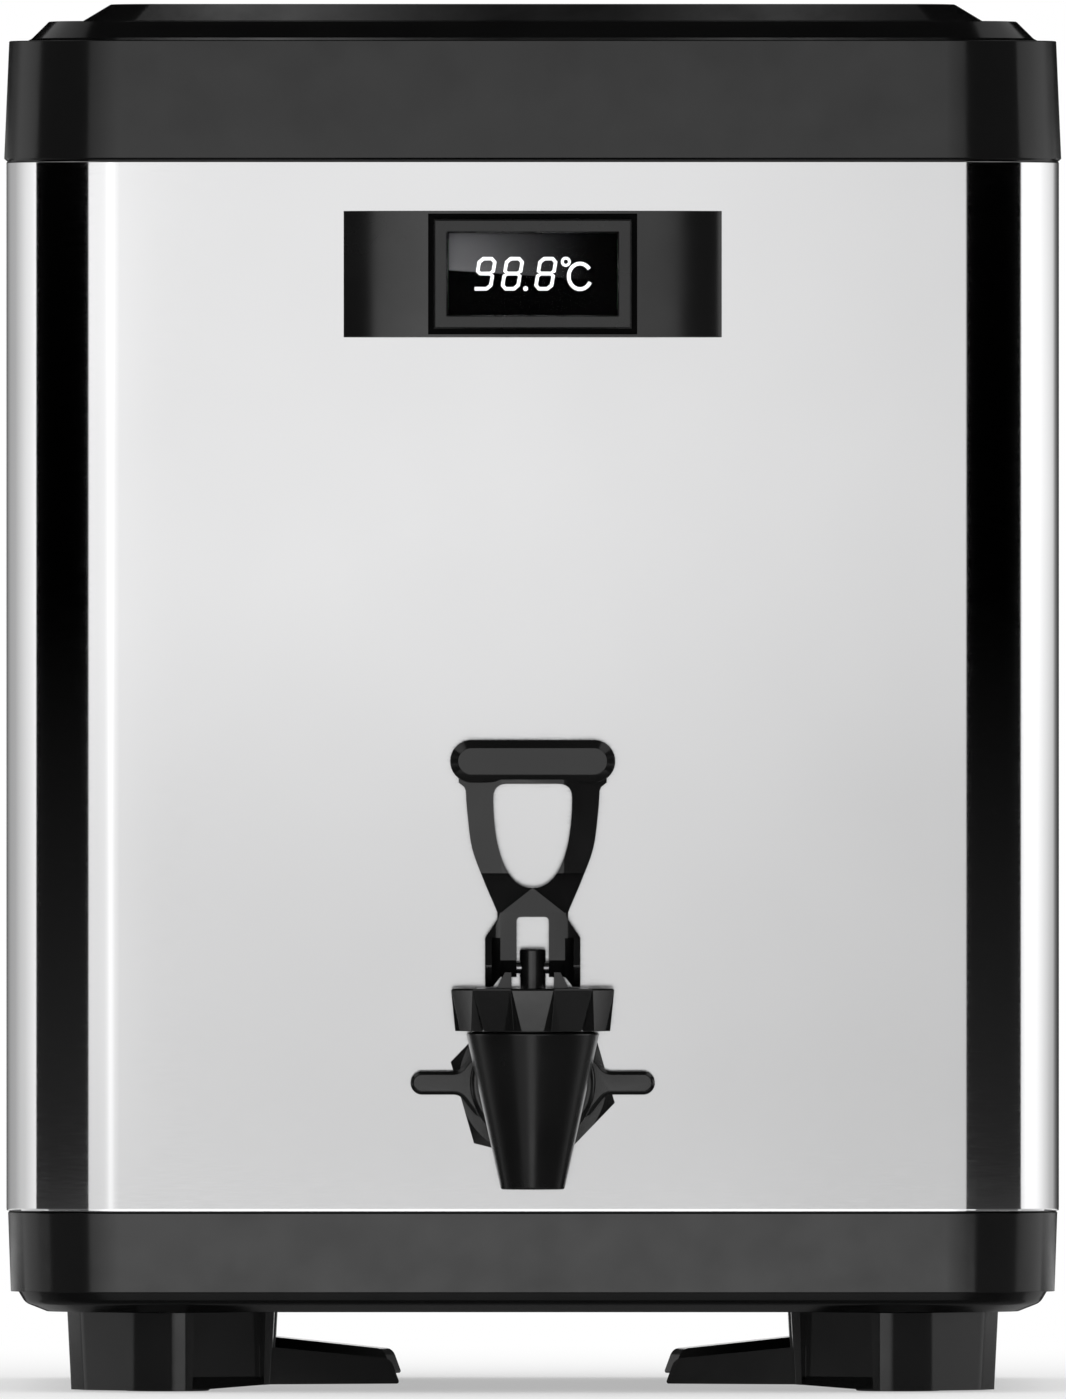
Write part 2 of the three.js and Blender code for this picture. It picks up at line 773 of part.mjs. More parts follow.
function lidPlug() {
  const inner = plugHalf - plugWall;
  const flangeHalf = lidInner - seat;
  const flangeTopZ = flangeUnder + plugFlangeThickness;
  const cup = squareLoft([
    [plugHalf - plugRound, plugCorner - plugRound, plugBottom],
    [plugHalf, plugCorner, plugBottom + plugRound],
    [plugHalf, plugCorner, flangeUnder],
    [flangeHalf, lidCorner - lidWall - seat, flangeUnder],
    [flangeHalf, lidCorner - lidWall - seat, flangeTopZ],
    [inner, plugCorner - plugWall, flangeTopZ],
    [inner, plugCorner - plugWall, plugBottom + plugWall],
  ]);
  const bossTop = ventPocketFloor - lidTopThickness - seat;
  const boss = rod(ventStemRadius + slip + ventBossWall, plugBottom, bossTop, smallSteps)
    .translate(0, ventPlace, 0);
  const bore = rod(ventStemRadius + slip, plugBottom - overrun, lidTop, smallSteps)
    .translate(0, ventPlace, 0);
  return cut(join(cup, boss), bore);
}

function lidFoam() {
  const half = plugHalf - plugWall - seat;
  const top = pocketFloor - lidTopThickness - seat;
  const body = squareLoft([
    [half, plugCorner - plugWall - seat, plugBottom + plugWall + seat],
    [half, plugCorner - plugWall - seat, top],
  ]);
  const way = rod(ventStemRadius + slip + ventBossWall + seat, plugBottom, top + overrun, smallSteps)
    .translate(0, ventPlace, 0);
  return cut(body, way);
}

function lidGasket() {
  const inner = plugHalf + seat;
  const outer = inner + gasketWidth;
  const corner = plugCorner + seat;
  return squareRing([
    [inner, corner, lidBottom],
    [outer, corner + gasketWidth, lidBottom],
    [outer + gasketLip, corner + gasketWidth + gasketLip, lidBottom + gasketLip / 2],
    [outer, corner + gasketWidth, gasketTop],
    [inner, corner, gasketTop],
  ]);
}

function ventCap() {
  const capBottom = ventPocketFloor + ventSealThickness + 2 * seat;
  const stemLow = plugBottom + plugRound;
  return lathe([
    [0, stemLow],
    [ventStemRadius, stemLow],
    [ventStemRadius, capBottom],
    [ventCapRadius - ventWaist, capBottom],
    [ventCapRadius - ventWaist, capBottom + ventCapHeight / 3],
    [ventCapRadius, capBottom + ventCapHeight / 2],
    [ventCapRadius, capBottom + ventCapHeight - seat],
    [ventCapRadius - seat, capBottom + ventCapHeight],
    [0, capBottom + ventCapHeight],
  ]);
}

function ventSeal() {
  const low = ventPocketFloor + seat;
  return tube(ventSealRadius, ventStemRadius + seat, low, low + ventSealThickness, smallSteps);
}

function lid() {
  const group = new THREE.Group();
  const cap = mesh("vent_cap", ventCap(), blackGloss);
  cap.position.y = ventPlace;
  const seal = mesh("vent_seal", ventSeal(), silicone);
  seal.position.y = ventPlace;
  group.add(
    mesh("lid_cover", lidTopCover(), blackGloss),
    mesh("lid_plug", lidPlug(), blackSatin),
    mesh("lid_foam", lidFoam(), foam),
    mesh("lid_gasket", lidGasket(), silicone),
    mesh("lid_handle", lidHandle(), blackSatin),
    mesh("left_handle_pin", bailPin(-1, 0), screwSteel),
    mesh("right_handle_pin", bailPin(1, 0), screwSteel),
    cap,
    seal,
  );
  return group;
}

// Display: drawn with y = 0 on the shell's face and z = 0 at its middle
const housingBack = -seat;
const frameFront = -displayProud - frameProud;
const frameBackY = frameFront + frameThickness;
const windowFront = frameBackY + seat;
const lcdFront = windowFront + windowThickness + seat;
const boardFront = lcdFront + lcdThickness + seat;
const cellFront = boardFront + boardThickness + seat;
const boxBack = boxDepth;
const coverFront = boxBack + seat;
const screwPlaceX = boxWidth / 2 - housingWall - coverScrewHead;

function displayHousing() {
  const half = displayWidth / 2;
  const bulge = displayProud - displayEndProud;
  const depthAt = (share) =>
    bulge * (displayArcShare * share ** 2 + (1 - displayArcShare) * share ** displayEndPower);
  const plan = new THREE.Shape();
  plan.moveTo(half, housingBack);
  plan.lineTo(half, -displayEndProud);
  for (let i = 1; i < roundSteps; i++) {
    const share = Math.cos((Math.PI * i) / roundSteps);
    plan.lineTo(half * share, -displayProud + depthAt(share));
  }
  plan.lineTo(-half, -displayEndProud);
  plan.lineTo(-half, housingBack);
  const face = extrude(plan, displayHeight).translate(0, 0, -displayHeight / 2);
  const box = block(
    -boxWidth / 2,
    boxWidth / 2,
    housingBack - seat,
    boxBack,
    -boxHeight / 2,
    boxHeight / 2,
  );
  const frameSeat = block(
    -frameWidth / 2 - frameReveal,
    frameWidth / 2 + frameReveal,
    frameFront - overrun,
    frameBackY + seat,
    -frameHeight / 2 - frameReveal,
    frameHeight / 2 + frameReveal,
  );
  const windowSeat = block(
    -windowWidth / 2 - windowLap - seat,
    windowWidth / 2 + windowLap + seat,
    frameFront,
    lcdFront,
    -windowHeight / 2 - windowLap - seat,
    windowHeight / 2 + windowLap + seat,
  );
  const panelWay = block(
    -windowWidth / 2,
    windowWidth / 2,
    frameFront,
    boardFront,
    -windowHeight / 2,
    windowHeight / 2,
  );
  const hollow = block(
    -boardWidth / 2 - slip,
    boardWidth / 2 + slip,
    boardFront - seat,
    boxBack + overrun,
    -windowHeight / 2,
    windowHeight / 2,
  );
  const screwHoles = [-1, 1].map((side) =>
    coverScrewShape(seat, -seat).rotateX(Math.PI / 2).translate(side * screwPlaceX, 0, 0));
  return cut(join(face, box), frameSeat, windowSeat, panelWay, hollow, ...screwHoles);
}

function displayFrame() {
  const ring = (halfX, halfZ, y) => [
    [halfX, halfZ], [-halfX, halfZ], [-halfX, -halfZ], [halfX, -halfZ],
  ].map(([x, z]) => new THREE.Vector3(x, z, -y));
  const outerX = frameWidth / 2;
  const outerZ = frameHeight / 2;
  const innerX = windowWidth / 2;
  const innerZ = windowHeight / 2;
  return loft([
    ring(outerX, outerZ, frameBackY),
    ring(outerX, outerZ, frameFront + frameBevel),
    ring(outerX - frameBevel, outerZ - frameBevel, frameFront),
    ring(innerX + frameBevel, innerZ + frameBevel, frameFront),
    ring(innerX, innerZ, frameFront + frameBevel),
    ring(innerX, innerZ, frameBackY),
  ], true).rotateX(Math.PI / 2);
}

function displayWindow() {
  const halfX = windowWidth / 2 + windowLap;
  const halfZ = windowHeight / 2 + windowLap;
  return block(-halfX, halfX, windowFront, windowFront + windowThickness, -halfZ, halfZ);
}

function lcdPanel() {
  const halfX = windowWidth / 2 - seat;
  const halfZ = windowHeight / 2 - seat;
  return block(-halfX, halfX, lcdFront, lcdFront + lcdThickness, -halfZ, halfZ);
}

const displayBoard = () =>
  block(
    -boardWidth / 2,
    boardWidth / 2,
    boardFront,
    boardFront + boardThickness,
    -boardHeight / 2,
    boardHeight / 2,
  );

const coinCell = () =>
  rod(cellRadius, 0, cellThickness).rotateX(-Math.PI / 2).translate(-probePlace, cellFront, 0);

function displayCover() {
  const plate = block(
    -boxWidth / 2,
    boxWidth / 2,
    coverFront,
    coverFront + coverThickness,
    -boxHeight / 2,
    boxHeight / 2,
  );
  const posts = [-1, 1].map((side) =>
    block(
      side * cellRadius - probePlace - housingWall / 2,
      side * cellRadius - probePlace + housingWall / 2,
      cellFront + cellThickness + seat,
      coverFront + overrun / 2,
      -housingWall,
      housingWall,
    ));
  const leadHole = rod(leadRadius + seat, 0, coverThickness + 2 * overrun, smallSteps)
    .rotateX(-Math.PI / 2)
    .translate(probePlace, coverFront - overrun, 0);
  const screwHoles = [-1, 1].map((side) =>
    rod(coverScrewRadius + seat, 0, coverThickness + 2 * overrun, smallSteps)
      .rotateX(-Math.PI / 2)
      .translate(side * screwPlaceX, coverFront - overrun, 0));
  return cut(join(plate, ...posts), leadHole, ...screwHoles);
}

// A cover screw about +Z, its head's seat on the cover's back face, or the hole that it needs
function coverScrewShape(grow, headGrow) {
  const backFace = coverFront + coverThickness + seat;
  const tip = backFace - coverScrewLength - seat;
  const head = coverScrewHead + headGrow;
  return lathe([
    [0, -backFace - coverScrewHead / 2],
    [head, -backFace - coverScrewHead / 2],
    [head, -backFace],
    [coverScrewRadius + grow, -backFace],
    [coverScrewRadius + grow, -tip + grow],
    [0, -tip + grow],
  ], smallSteps);
}

// The probe lies against the liner, and its lead runs up the foam's slot to the display
function probeLead() {
  const start = coverFront - shellHalf - overrun / 2;
  const wall = -linerHalf - seat - probeRadius;
  const top = linerUnder + probeRise + probeLength + seat;
  const bend = (wall - start) / 3;
  const route = new THREE.CatmullRomCurve3([
    new THREE.Vector3(probePlace, start, displayZ),
    new THREE.Vector3(probePlace, start + bend, displayZ),
    new THREE.Vector3(probePlace, wall - bend / 2, displayZ - bend / 2),
    new THREE.Vector3(probePlace, wall, displayZ - 2 * bend),
    new THREE.Vector3(probePlace, wall, (displayZ + top) / 2),
    new THREE.Vector3(probePlace, wall, top),
  ], false, "centripetal");
  const section = new THREE.Shape();
  section.absarc(0, 0, leadRadius, 0, 2 * Math.PI);
  return new THREE.ExtrudeGeometry(section, {
    steps: 4 * curlSteps,
    extrudePath: route,
    curveSegments: leadSides / 2,
  });
}

function sensorProbe() {
  const low = linerUnder + probeRise;
  return lathe([
    [0, low],
    [probeRadius - leadRadius / 2, low],
    [probeRadius, low + leadRadius],
    [probeRadius, low + probeLength],
    [0, low + probeLength],
  ], smallSteps);
}

function display() {
  const group = new THREE.Group();
  group.position.set(0, -shellHalf, displayZ);
  const screws = ["left", "right"].map((name, i) => {
    const screw = mesh(`${name}_cover_screw`, coverScrewShape(0, 0), screwSteel);
    screw.rotation.x = Math.PI / 2;
    screw.position.x = (2 * i - 1) * screwPlaceX;
    return screw;
  });
  group.add(
    mesh("display_housing", displayHousing(), blackGloss),
    mesh("display_frame", displayFrame(), blackSatin),
    mesh("display_window", displayWindow(), glass),
    mesh("lcd_panel", lcdPanel(), panel),
    mesh("display_board", displayBoard(), board),
    mesh("coin_cell", coinCell(), screwSteel),
    mesh("display_cover", displayCover(), blackSatin),
    ...screws,
  );
  return group;
}

// Tap pieces that lie along the shank are drawn about +Z with z = 0 on the shell's face, then
// turned so that +Z points out of the front
const hexOut = washerThickness + 2 * seat;
const wingOut = hexOut + hexThickness + seat;
const sealOut = outletReach + seat;
const flangeOut = sealOut + sealThickness + seat;
const lipOut = flangeOut + shankFlange + seat;
const wingEnd = lipOut + wingLip;
const flangeRadius = outletRadius - seat;

function outletPipe() {
  return tube(outletRadius, outletBore, -insulation + seat, outletReach);
}

const outletWasher = () => tube(washerRadius, outletRadius + seat, seat, seat + washerThickness);

function hexNut() {
  const radius = hexFlats / Math.sqrt(3);
  const turn = Math.PI / 2 + hexTurn;
  const body = rod(radius, hexOut, hexOut + hexThickness, 6).rotateZ(turn);
  return cut(body, rod(outletRadius + seat, hexOut - overrun, hexOut + hexThickness + overrun));
}

function wingNut() {
  const hub = lathe([
    [outletRadius + seat, wingOut],
    [wingHub, wingOut],
    [wingHub, wingEnd - mouthChamfer],
    [wingHub - mouthChamfer, wingEnd],
    [shankRadius + seat, wingEnd],
    [shankRadius + seat, lipOut],
    [outletRadius + seat, lipOut],
    [outletRadius + seat, wingOut],
  ]);
  const root = wingHub * wingRootShare;
  const half = wingThickness / 2;
  const tip = wingSpan / 2 - half;
  const start = Math.sqrt(wingHub * wingHub - root * root) - overrun;
  const neck = wingHub + half;
  const shape = new THREE.Shape();
  shape.moveTo(start, -root);
  shape.quadraticCurveTo(wingHub, -half, neck, -half);
  shape.lineTo(tip, -half);
  shape.absarc(tip, 0, half, -Math.PI / 2, Math.PI / 2);
  shape.lineTo(neck, half);
  shape.quadraticCurveTo(wingHub, half, start, root);
  const low = (wingOut + wingEnd - wingDepth) / 2;
  const right = extrude(shape, wingDepth, curlSteps).translate(0, 0, low);
  const left = extrude(shape, wingDepth, curlSteps).translate(0, 0, low).rotateZ(Math.PI);
  return join(hub, right, left);
}

const shankSeal = () => tube(flangeRadius, outletBore, sealOut, sealOut + sealThickness);

// The tap's upright pieces are drawn about +Z with z = 0 on the shank's axis
const neckTop = spoutAbove + neckHeight;
const bonnetLow = spoutAbove + seat;
const bonnetHigh = bonnetLow + bonnetHeight;
const bonnetUnder = bonnetHigh - bonnetTop;
const pinZ = bonnetHigh + pinRise;
const cupLow = -seatBelow + seat;
const cupHigh = cupLow + cupHeight;
const springLow = cupHigh + seat;
const springHigh = bonnetUnder - stemSealThickness - 2 * seat;

function tapBody() {
  const cone = lathe([
    [0, -spoutBelow],
    [spoutMouthRadius - mouthChamfer, -spoutBelow],
    [spoutMouthRadius, -spoutBelow + mouthChamfer],
    [spoutTopRadius, spoutAbove],
    [neckRadius, spoutAbove],
    [neckRadius, neckTop],
    [0, neckTop],
  ]);
  const along = (tool) => tool.translate(0, 0, -tapReach).rotateX(Math.PI / 2);
  const shank = along(rod(shankRadius, flangeOut, tapReach));
  const flange = along(rod(flangeRadius, flangeOut, flangeOut + shankFlange));
  const cavity = lathe([
    [0, -spoutBelow - overrun],
    [spoutBore, -spoutBelow - overrun],
    [spoutBore, -seatBelow],
    [chamberRadius, -seatBelow],
    [chamberRadius, neckTop + overrun],
    [0, neckTop + overrun],
  ]);
  const bore = along(rod(shankBore, flangeOut - overrun, tapReach, smallSteps));
  return cut(join(cone, shank, flange), cavity, bore);
}

// A screw cap whose flats narrow downwards between V-shaped flutes
function bonnet() {
  const ring = (radius, share, depth, z) => {
    const pitch = (2 * Math.PI) / bonnetLands;
    const points = [];
    for (let i = 0; i < bonnetLands; i++) {
      const middle = i * pitch - Math.PI / 2;
      for (const [angle, r] of [
        [middle - (share * pitch) / 2, radius],
        [middle + (share * pitch) / 2, radius],
        [middle + pitch / 2, radius - depth],
      ]) {
        points.push(new THREE.Vector3(r * Math.cos(angle), r * Math.sin(angle), z));
      }
    }
    return points;
  };
  const body = loft([
    ring(bonnetFootRadius, landFootShare, fluteDepth, bonnetLow),
    ring(bonnetRadius, landTopShare, 0, bonnetHigh - mouthChamfer),
    ring(bonnetRadius - mouthChamfer, landTopShare, 0, bonnetHigh),
  ]);
  const lug = outline([
    [lugInner, bonnetHigh - overrun / 2],
    [lugFoot, bonnetHigh - overrun / 2],
    [lugFoot, bonnetHigh],
    [lugTop, bonnetHigh + lugHeight],
    [lugInner, bonnetHigh + lugHeight],
  ]);
  const lugFront = -forkDepth / 2;
  const right = frontExtrude(lug, lugFront, lugFront + lugDepth);
  const mirrored = outline([
    [-lugInner, bonnetHigh - overrun / 2],
    [-lugInner, bonnetHigh + lugHeight],
    [-lugTop, bonnetHigh + lugHeight],
    [-lugFoot, bonnetHigh],
    [-lugFoot, bonnetHigh - overrun / 2],
  ]);
  const left = frontExtrude(mirrored, lugFront, lugFront + lugDepth);
  const thread = rod(neckRadius + seat, bonnetLow - overrun, bonnetUnder);
  const stemHole = rod(stemRadius + seat, bonnetUnder - overrun, bonnetHigh + overrun, smallSteps);
  return cut(join(body, right, left), thread, stemHole);
}

function valveStem() {
  const top = pinZ + stemAbovePin;
  const body = lathe([
    [0, cupHigh - stemInCup],
    [stemRadius, cupHigh - stemInCup],
    [stemRadius, top - mouthChamfer],
    [stemRadius - mouthChamfer, top],
    [0, top],
  ], smallSteps);
  const hole = rod(pinRadius + seat, -stemRadius - overrun, stemRadius + overrun, smallSteps)
    .rotateY(Math.PI / 2)
    .translate(0, 0, pinZ);
  return cut(body, hole);
}

function seatCup() {
  const bottom = cupHigh - stemInCup - seat;
  return lathe([
    [0, cupLow],
    [cupRadius - cupBevel, cupLow],
    [cupRadius, cupLow + cupBevel],
    [cupRadius, cupHigh],
    [stemRadius + seat, cupHigh],
    [stemRadius + seat, bottom],
    [0, bottom],
  ], smallSteps);
}

// The closing spring, one unbroken wire of springTurns turns
function valveSpring() {
  const stepsPerTurn = 8;
  const sides = 5;
  const steps = springTurns * stepsPerTurn;
  const low = springLow + springWire;
  const high = springHigh - springWire;
  const rings = [];
  for (let i = 0; i <= steps; i++) {
    const angle = (i / stepsPerTurn) * 2 * Math.PI;
    const z = low + ((high - low) * i) / steps;
    const ring = [];
    for (let j = 0; j < sides; j++) {
      const around = (j / sides) * 2 * Math.PI;
      const r = springRadius + springWire * Math.cos(around);
      const rise = springWire * Math.sin(around);
      ring.push(new THREE.Vector3(r * Math.cos(angle), r * Math.sin(angle), z + rise));
    }
    rings.push(ring);
  }
  const count = sides;
  const points = rings.flat();
  const faces = [];
  for (let i = 0; i < steps; i++) {
    for (let j = 0; j < count; j++) {
      const a = i * count + j;
      const b = i * count + ((j + 1) % count);
      faces.push(a, b + count, b, a, a + count, b + count);
    }
  }
  const last = steps * count;
  for (let j = 1; j < count - 1; j++) {
    faces.push(0, j, j + 1, last, last + j + 1, last + j);
  }
  const geometry = new THREE.BufferGeometry().setFromPoints(points);
  geometry.setIndex(faces);
  geometry.computeVertexNormals();
  return geometry;
}

const stemSeal = () => {
  const high = bonnetUnder - seat;
  const outer = stemRadius + seat + stemSealWidth;
  return tube(outer, stemRadius + seat, high - stemSealThickness, high, smallSteps);
};

const leverPin = () =>
  rod(pinRadius, -forkHalf + seat, forkHalf - seat, smallSteps).rotateY(Math.PI / 2).translate(0, 0, pinZ);

// Lever, drawn with the pin at x = y = z = 0: the front outline meets a side outline whose foot is an
// involute, so that the stem rises at a constant rate as the lever tilts forward
function leverFront() {
  const foot = -pinRise;
  const rise = loopTop - neckRise;
  const flankShares = [[0, 0], [0.06, 0.1], [0.25, 0.43], [0.5, 0.8], [0.77, 0.95], [0.94, 1]];
  const flank = flankShares.map(
    ([along, out]) => new THREE.Vector2(neckHalf + out * (loopHalf - neckHalf), neckRise + along * rise),
  );
  const right = new THREE.SplineCurve(flank).getPoints(14);
  const left = right.map((p) => new THREE.Vector2(-p.x, p.y)).reverse();
  return new THREE.Shape([
    new THREE.Vector2(forkHalf, foot),
    new THREE.Vector2(forkHalf, forkHeight),
    new THREE.Vector2(neckHalf, neckLow),
    ...right,
    new THREE.Vector2(loopHalf, loopTop - armFlare),
    new THREE.Vector2(loopHalf + armFlare, loopTop + seat),
    new THREE.Vector2(loopHalf + armFlare, loopTop + gripHeight / 2),
    new THREE.Vector2(-loopHalf - armFlare, loopTop + gripHeight / 2),
    new THREE.Vector2(-loopHalf - armFlare, loopTop + seat),
    new THREE.Vector2(-loopHalf, loopTop - armFlare),
    ...left,
    new THREE.Vector2(-neckHalf, neckLow),
    new THREE.Vector2(-forkHalf, forkHeight),
    new THREE.Vector2(-forkHalf, foot),
  ]);
}

function leverHole() {
  const height = loopTop - loopRise;
  const round = loopHoleHalf * holeRoundShare;
  const foot = loopHoleHalf * holeFootShare;
  const flank = loopRise + height * holeFlankShare;
  const hole = new THREE.Shape();
  hole.moveTo(0, loopRise);
  hole.bezierCurveTo(
    foot,
    loopRise,
    loopHoleHalf,
    flank,
    loopHoleHalf,
    loopTop - round,
  );
  hole.quadraticCurveTo(loopHoleHalf, loopTop, loopHoleHalf - round, loopTop);
  hole.lineTo(-loopHoleHalf + round, loopTop);
  hole.quadraticCurveTo(-loopHoleHalf, loopTop, -loopHoleHalf, loopTop - round);
  hole.bezierCurveTo(
    -loopHoleHalf,
    flank,
    -foot,
    loopRise,
    0,
    loopRise,
  );
  return hole;
}

function leverSide() {
  const radius = pinRise - seat;
  const half = forkDepth / 2;
  const thin = loopDepth / 2;
  const cam = [];
  const steps = 12;
  for (let i = 0; i <= steps; i++) {
    const angle = (leverTilt * i) / steps;
    const reach = radius + liftPerRadian * angle;
    cam.push([
      -reach * Math.sin(angle) - liftPerRadian * Math.cos(angle),
      -reach * Math.cos(angle) + liftPerRadian * Math.sin(angle),
    ]);
  }
  return outline([
    ...cam,
    [-half, forkHeight],
    [-half, gableRise],
    [-thin, gableRise],
    [-thin, loopTop + gripHeight / 2],
    [thin, loopTop + gripHeight / 2],
    [thin, gableRise],
    [half, neckRise],
    [half, -radius + half * (1 - heelRoundShare)],
    [half * heelRoundShare, -radius],
  ]);
}

// What is cut off one arm's front, between two heights, to slant it outward
function armCutter(side, from, slant, low, high) {
  const front = -loopDepth / 2;
  const end = loopHalf + armFlare + overrun;
  const plan = outline([
    [0, front],
    [side * from, front],
    [side * end, front + (end - from) * Math.tan(slant)],
    [side * end, -forkDepth],
    [0, -forkDepth],
  ]);
  return extrude(plan, high - low).translate(0, 0, low);
}

function lever() {
  const reach = 2 * (pinRise + liftPerRadian * leverTilt);
  const whole = meet(
    frontExtrude(leverFront(), -reach, reach),
    sideExtrude(leverSide(), -gripHalf, gripHalf),
  );
  const gable = outline([[-gableHalf, neckRise], [gableHalf, neckRise], [0, loopRise]]);
  const slants = [-1, 1].flatMap((side) => [
    armCutter(side, armFootSlantFrom, armFootSlant, neckRise, armFootTop),
    armCutter(side, armSlantFrom, armSlant, armFootTop, loopTop + gripHeight / 2),
  ]);
  const blank = join(cut(whole, ...slants), meet(whole, frontExtrude(gable, -reach, 0)));
  const straight = gripHalf - gripHeight / 2;
  const half = gripHeight / 2 - gripBevel;
  const end = new THREE.Shape();
  end.absarc(straight, 0, half, -Math.PI / 2, Math.PI / 2);
  end.absarc(-straight, 0, half, Math.PI / 2, (3 * Math.PI) / 2);
  const grip = new THREE.ExtrudeGeometry(end, {
    depth: gripDepth - 2 * gripBevel,
    bevelEnabled: true,
    bevelSize: gripBevel,
    bevelThickness: gripBevel,
    bevelSegments: 1,
    curveSegments: curlSteps,
  })
    .rotateX(Math.PI / 2)
    .translate(0, gripDepth / 2 - gripBevel, loopTop + gripHeight / 2 + seat);
  const fingerHole = frontExtrude(leverHole(), -reach, reach, 10);
  const slot = block(-forkSlotHalf, forkSlotHalf, -reach, reach, -reach, forkSlotTop);
  const front = -forkDepth / 2;
  const heel = sideExtrude(
    outline([
      [-reach, -reach],
      [reach, -reach],
      [reach, -forkHeel],
      [front + heelBevel, -forkHeel],
      [front, forkLip],
      [-reach, forkLip],
    ]),
    -forkFaceHalf,
    forkFaceHalf,
  );
  const toeHalf = forkHalf - cheekToe;
  const toe = block(-toeHalf, toeHalf, -reach, front, -reach, forkHeight);
  const wedge = frontExtrude(
    outline([
      [-toeHalf, -pinRise - overrun],
      [toeHalf, -pinRise - overrun],
      [toeHalf, -pinRise],
      [forkFaceHalf, -forkHeel],
      [-forkFaceHalf, -forkHeel],
      [-toeHalf, -pinRise],
    ]),
    -reach,
    reach,
  );
  const pinHole = rod(pinRadius + seat, -reach, reach, smallSteps).rotateY(Math.PI / 2);
  const chamfers = [-1, 1].flatMap((sideX) => {
    const x = sideX * forkHalf;
    const slope = forkChamfer / (forkHalf - forkFaceHalf);
    const corner = [
      new THREE.Vector2(x + sideX * overrun, front - overrun),
      new THREE.Vector2(x + sideX * overrun, front + forkChamfer + overrun * slope),
      new THREE.Vector2(sideX * forkFaceHalf - (sideX * overrun) / slope, front - overrun),
    ];
    return [extrude(new THREE.Shape(corner), neckRise - forkHeight).translate(0, 0, forkHeight)];
  });
  return cut(join(blank, grip), fingerHole, slot, heel, toe, wedge, pinHole, ...chamfers);
}

function tap() {
  const group = new THREE.Group();
  group.position.set(0, -shellHalf, shankZ);
  const along = new THREE.Group();
  along.rotation.x = Math.PI / 2;
  along.add(
    mesh("outlet_pipe", outletPipe(), innerSteel),
    mesh("outlet_washer", outletWasher(), silicone),
    mesh("outlet_hex_nut", hexNut(), blackSatin),
    mesh("wing_nut", wingNut(), blackSatin),
    mesh("shank_seal", shankSeal(), silicone),
  );
  const upright = new THREE.Group();
  upright.position.y = -tapReach;
  const leverMesh = mesh("lever", lever(), blackGloss);
  leverMesh.position.z = pinZ;
  upright.add(
    mesh("tap_body", tapBody(), blackGloss),
    mesh("tap_bonnet", bonnet(), blackGloss),
    mesh("valve_stem", valveStem(), blackSatin),
    mesh("seat_cup", seatCup(), silicone),
    mesh("valve_spring", valveSpring(), screwSteel),
    mesh("stem_seal", stemSeal(), rubber),
    mesh("lever_pin", leverPin(), screwSteel),
    leverMesh,
  );
  group.add(along, upright);
  return group;
}

const probe = mesh("sensor_probe", sensorProbe(), innerSteel);
probe.position.set(probePlace, -linerHalf - seat - probeRadius, 0);

const dispenser = new THREE.Group();
dispenser.add(
  mesh("outer_shell", outerShell(), steel),
  mesh("base_tray", baseTray(), blackSatin),
  mesh("inner_liner", innerLiner(), innerSteel),
  mesh("foam_jacket", foamJacket(), foam),
  mesh("top_collar", topCollar(), blackGloss),
  feet(),
  lid(),
  display(),
  probe,
  mesh("probe_lead", probeLead(), rubber),
  tap(),
);

// The tap reaches out at the front, so the body is moved back until the bounding box is centred
dispenser.updateMatrixWorld(true);
const box = new THREE.Box3().setFromObject(dispenser);
dispenser.position.y = -(box.min.y + box.max.y) / 2;

export default dispenser;
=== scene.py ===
import json
import math

import bmesh
import bpy
from mathutils import Matrix, Vector

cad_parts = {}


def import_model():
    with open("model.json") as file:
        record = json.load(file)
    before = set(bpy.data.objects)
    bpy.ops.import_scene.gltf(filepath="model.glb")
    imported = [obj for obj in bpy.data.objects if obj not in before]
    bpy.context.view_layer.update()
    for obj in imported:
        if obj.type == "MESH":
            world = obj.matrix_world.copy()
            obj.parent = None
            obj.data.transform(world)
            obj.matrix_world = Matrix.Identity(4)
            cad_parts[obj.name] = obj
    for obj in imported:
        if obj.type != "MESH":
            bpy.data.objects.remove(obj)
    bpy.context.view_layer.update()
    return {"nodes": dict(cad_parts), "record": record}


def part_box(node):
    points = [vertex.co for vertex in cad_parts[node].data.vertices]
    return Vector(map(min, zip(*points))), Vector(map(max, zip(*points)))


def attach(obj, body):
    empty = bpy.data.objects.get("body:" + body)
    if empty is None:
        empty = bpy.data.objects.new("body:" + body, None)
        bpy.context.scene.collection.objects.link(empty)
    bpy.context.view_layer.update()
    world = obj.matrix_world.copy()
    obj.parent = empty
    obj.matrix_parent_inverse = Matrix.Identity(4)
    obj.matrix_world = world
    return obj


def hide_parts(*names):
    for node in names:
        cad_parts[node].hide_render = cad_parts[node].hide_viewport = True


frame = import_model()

MM = 0.001
QUARTER = math.pi / 2
COLLAR_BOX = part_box("top_collar")
AXIS_Y = (COLLAR_BOX[0][1] + COLLAR_BOX[1][1]) / 2 / MM

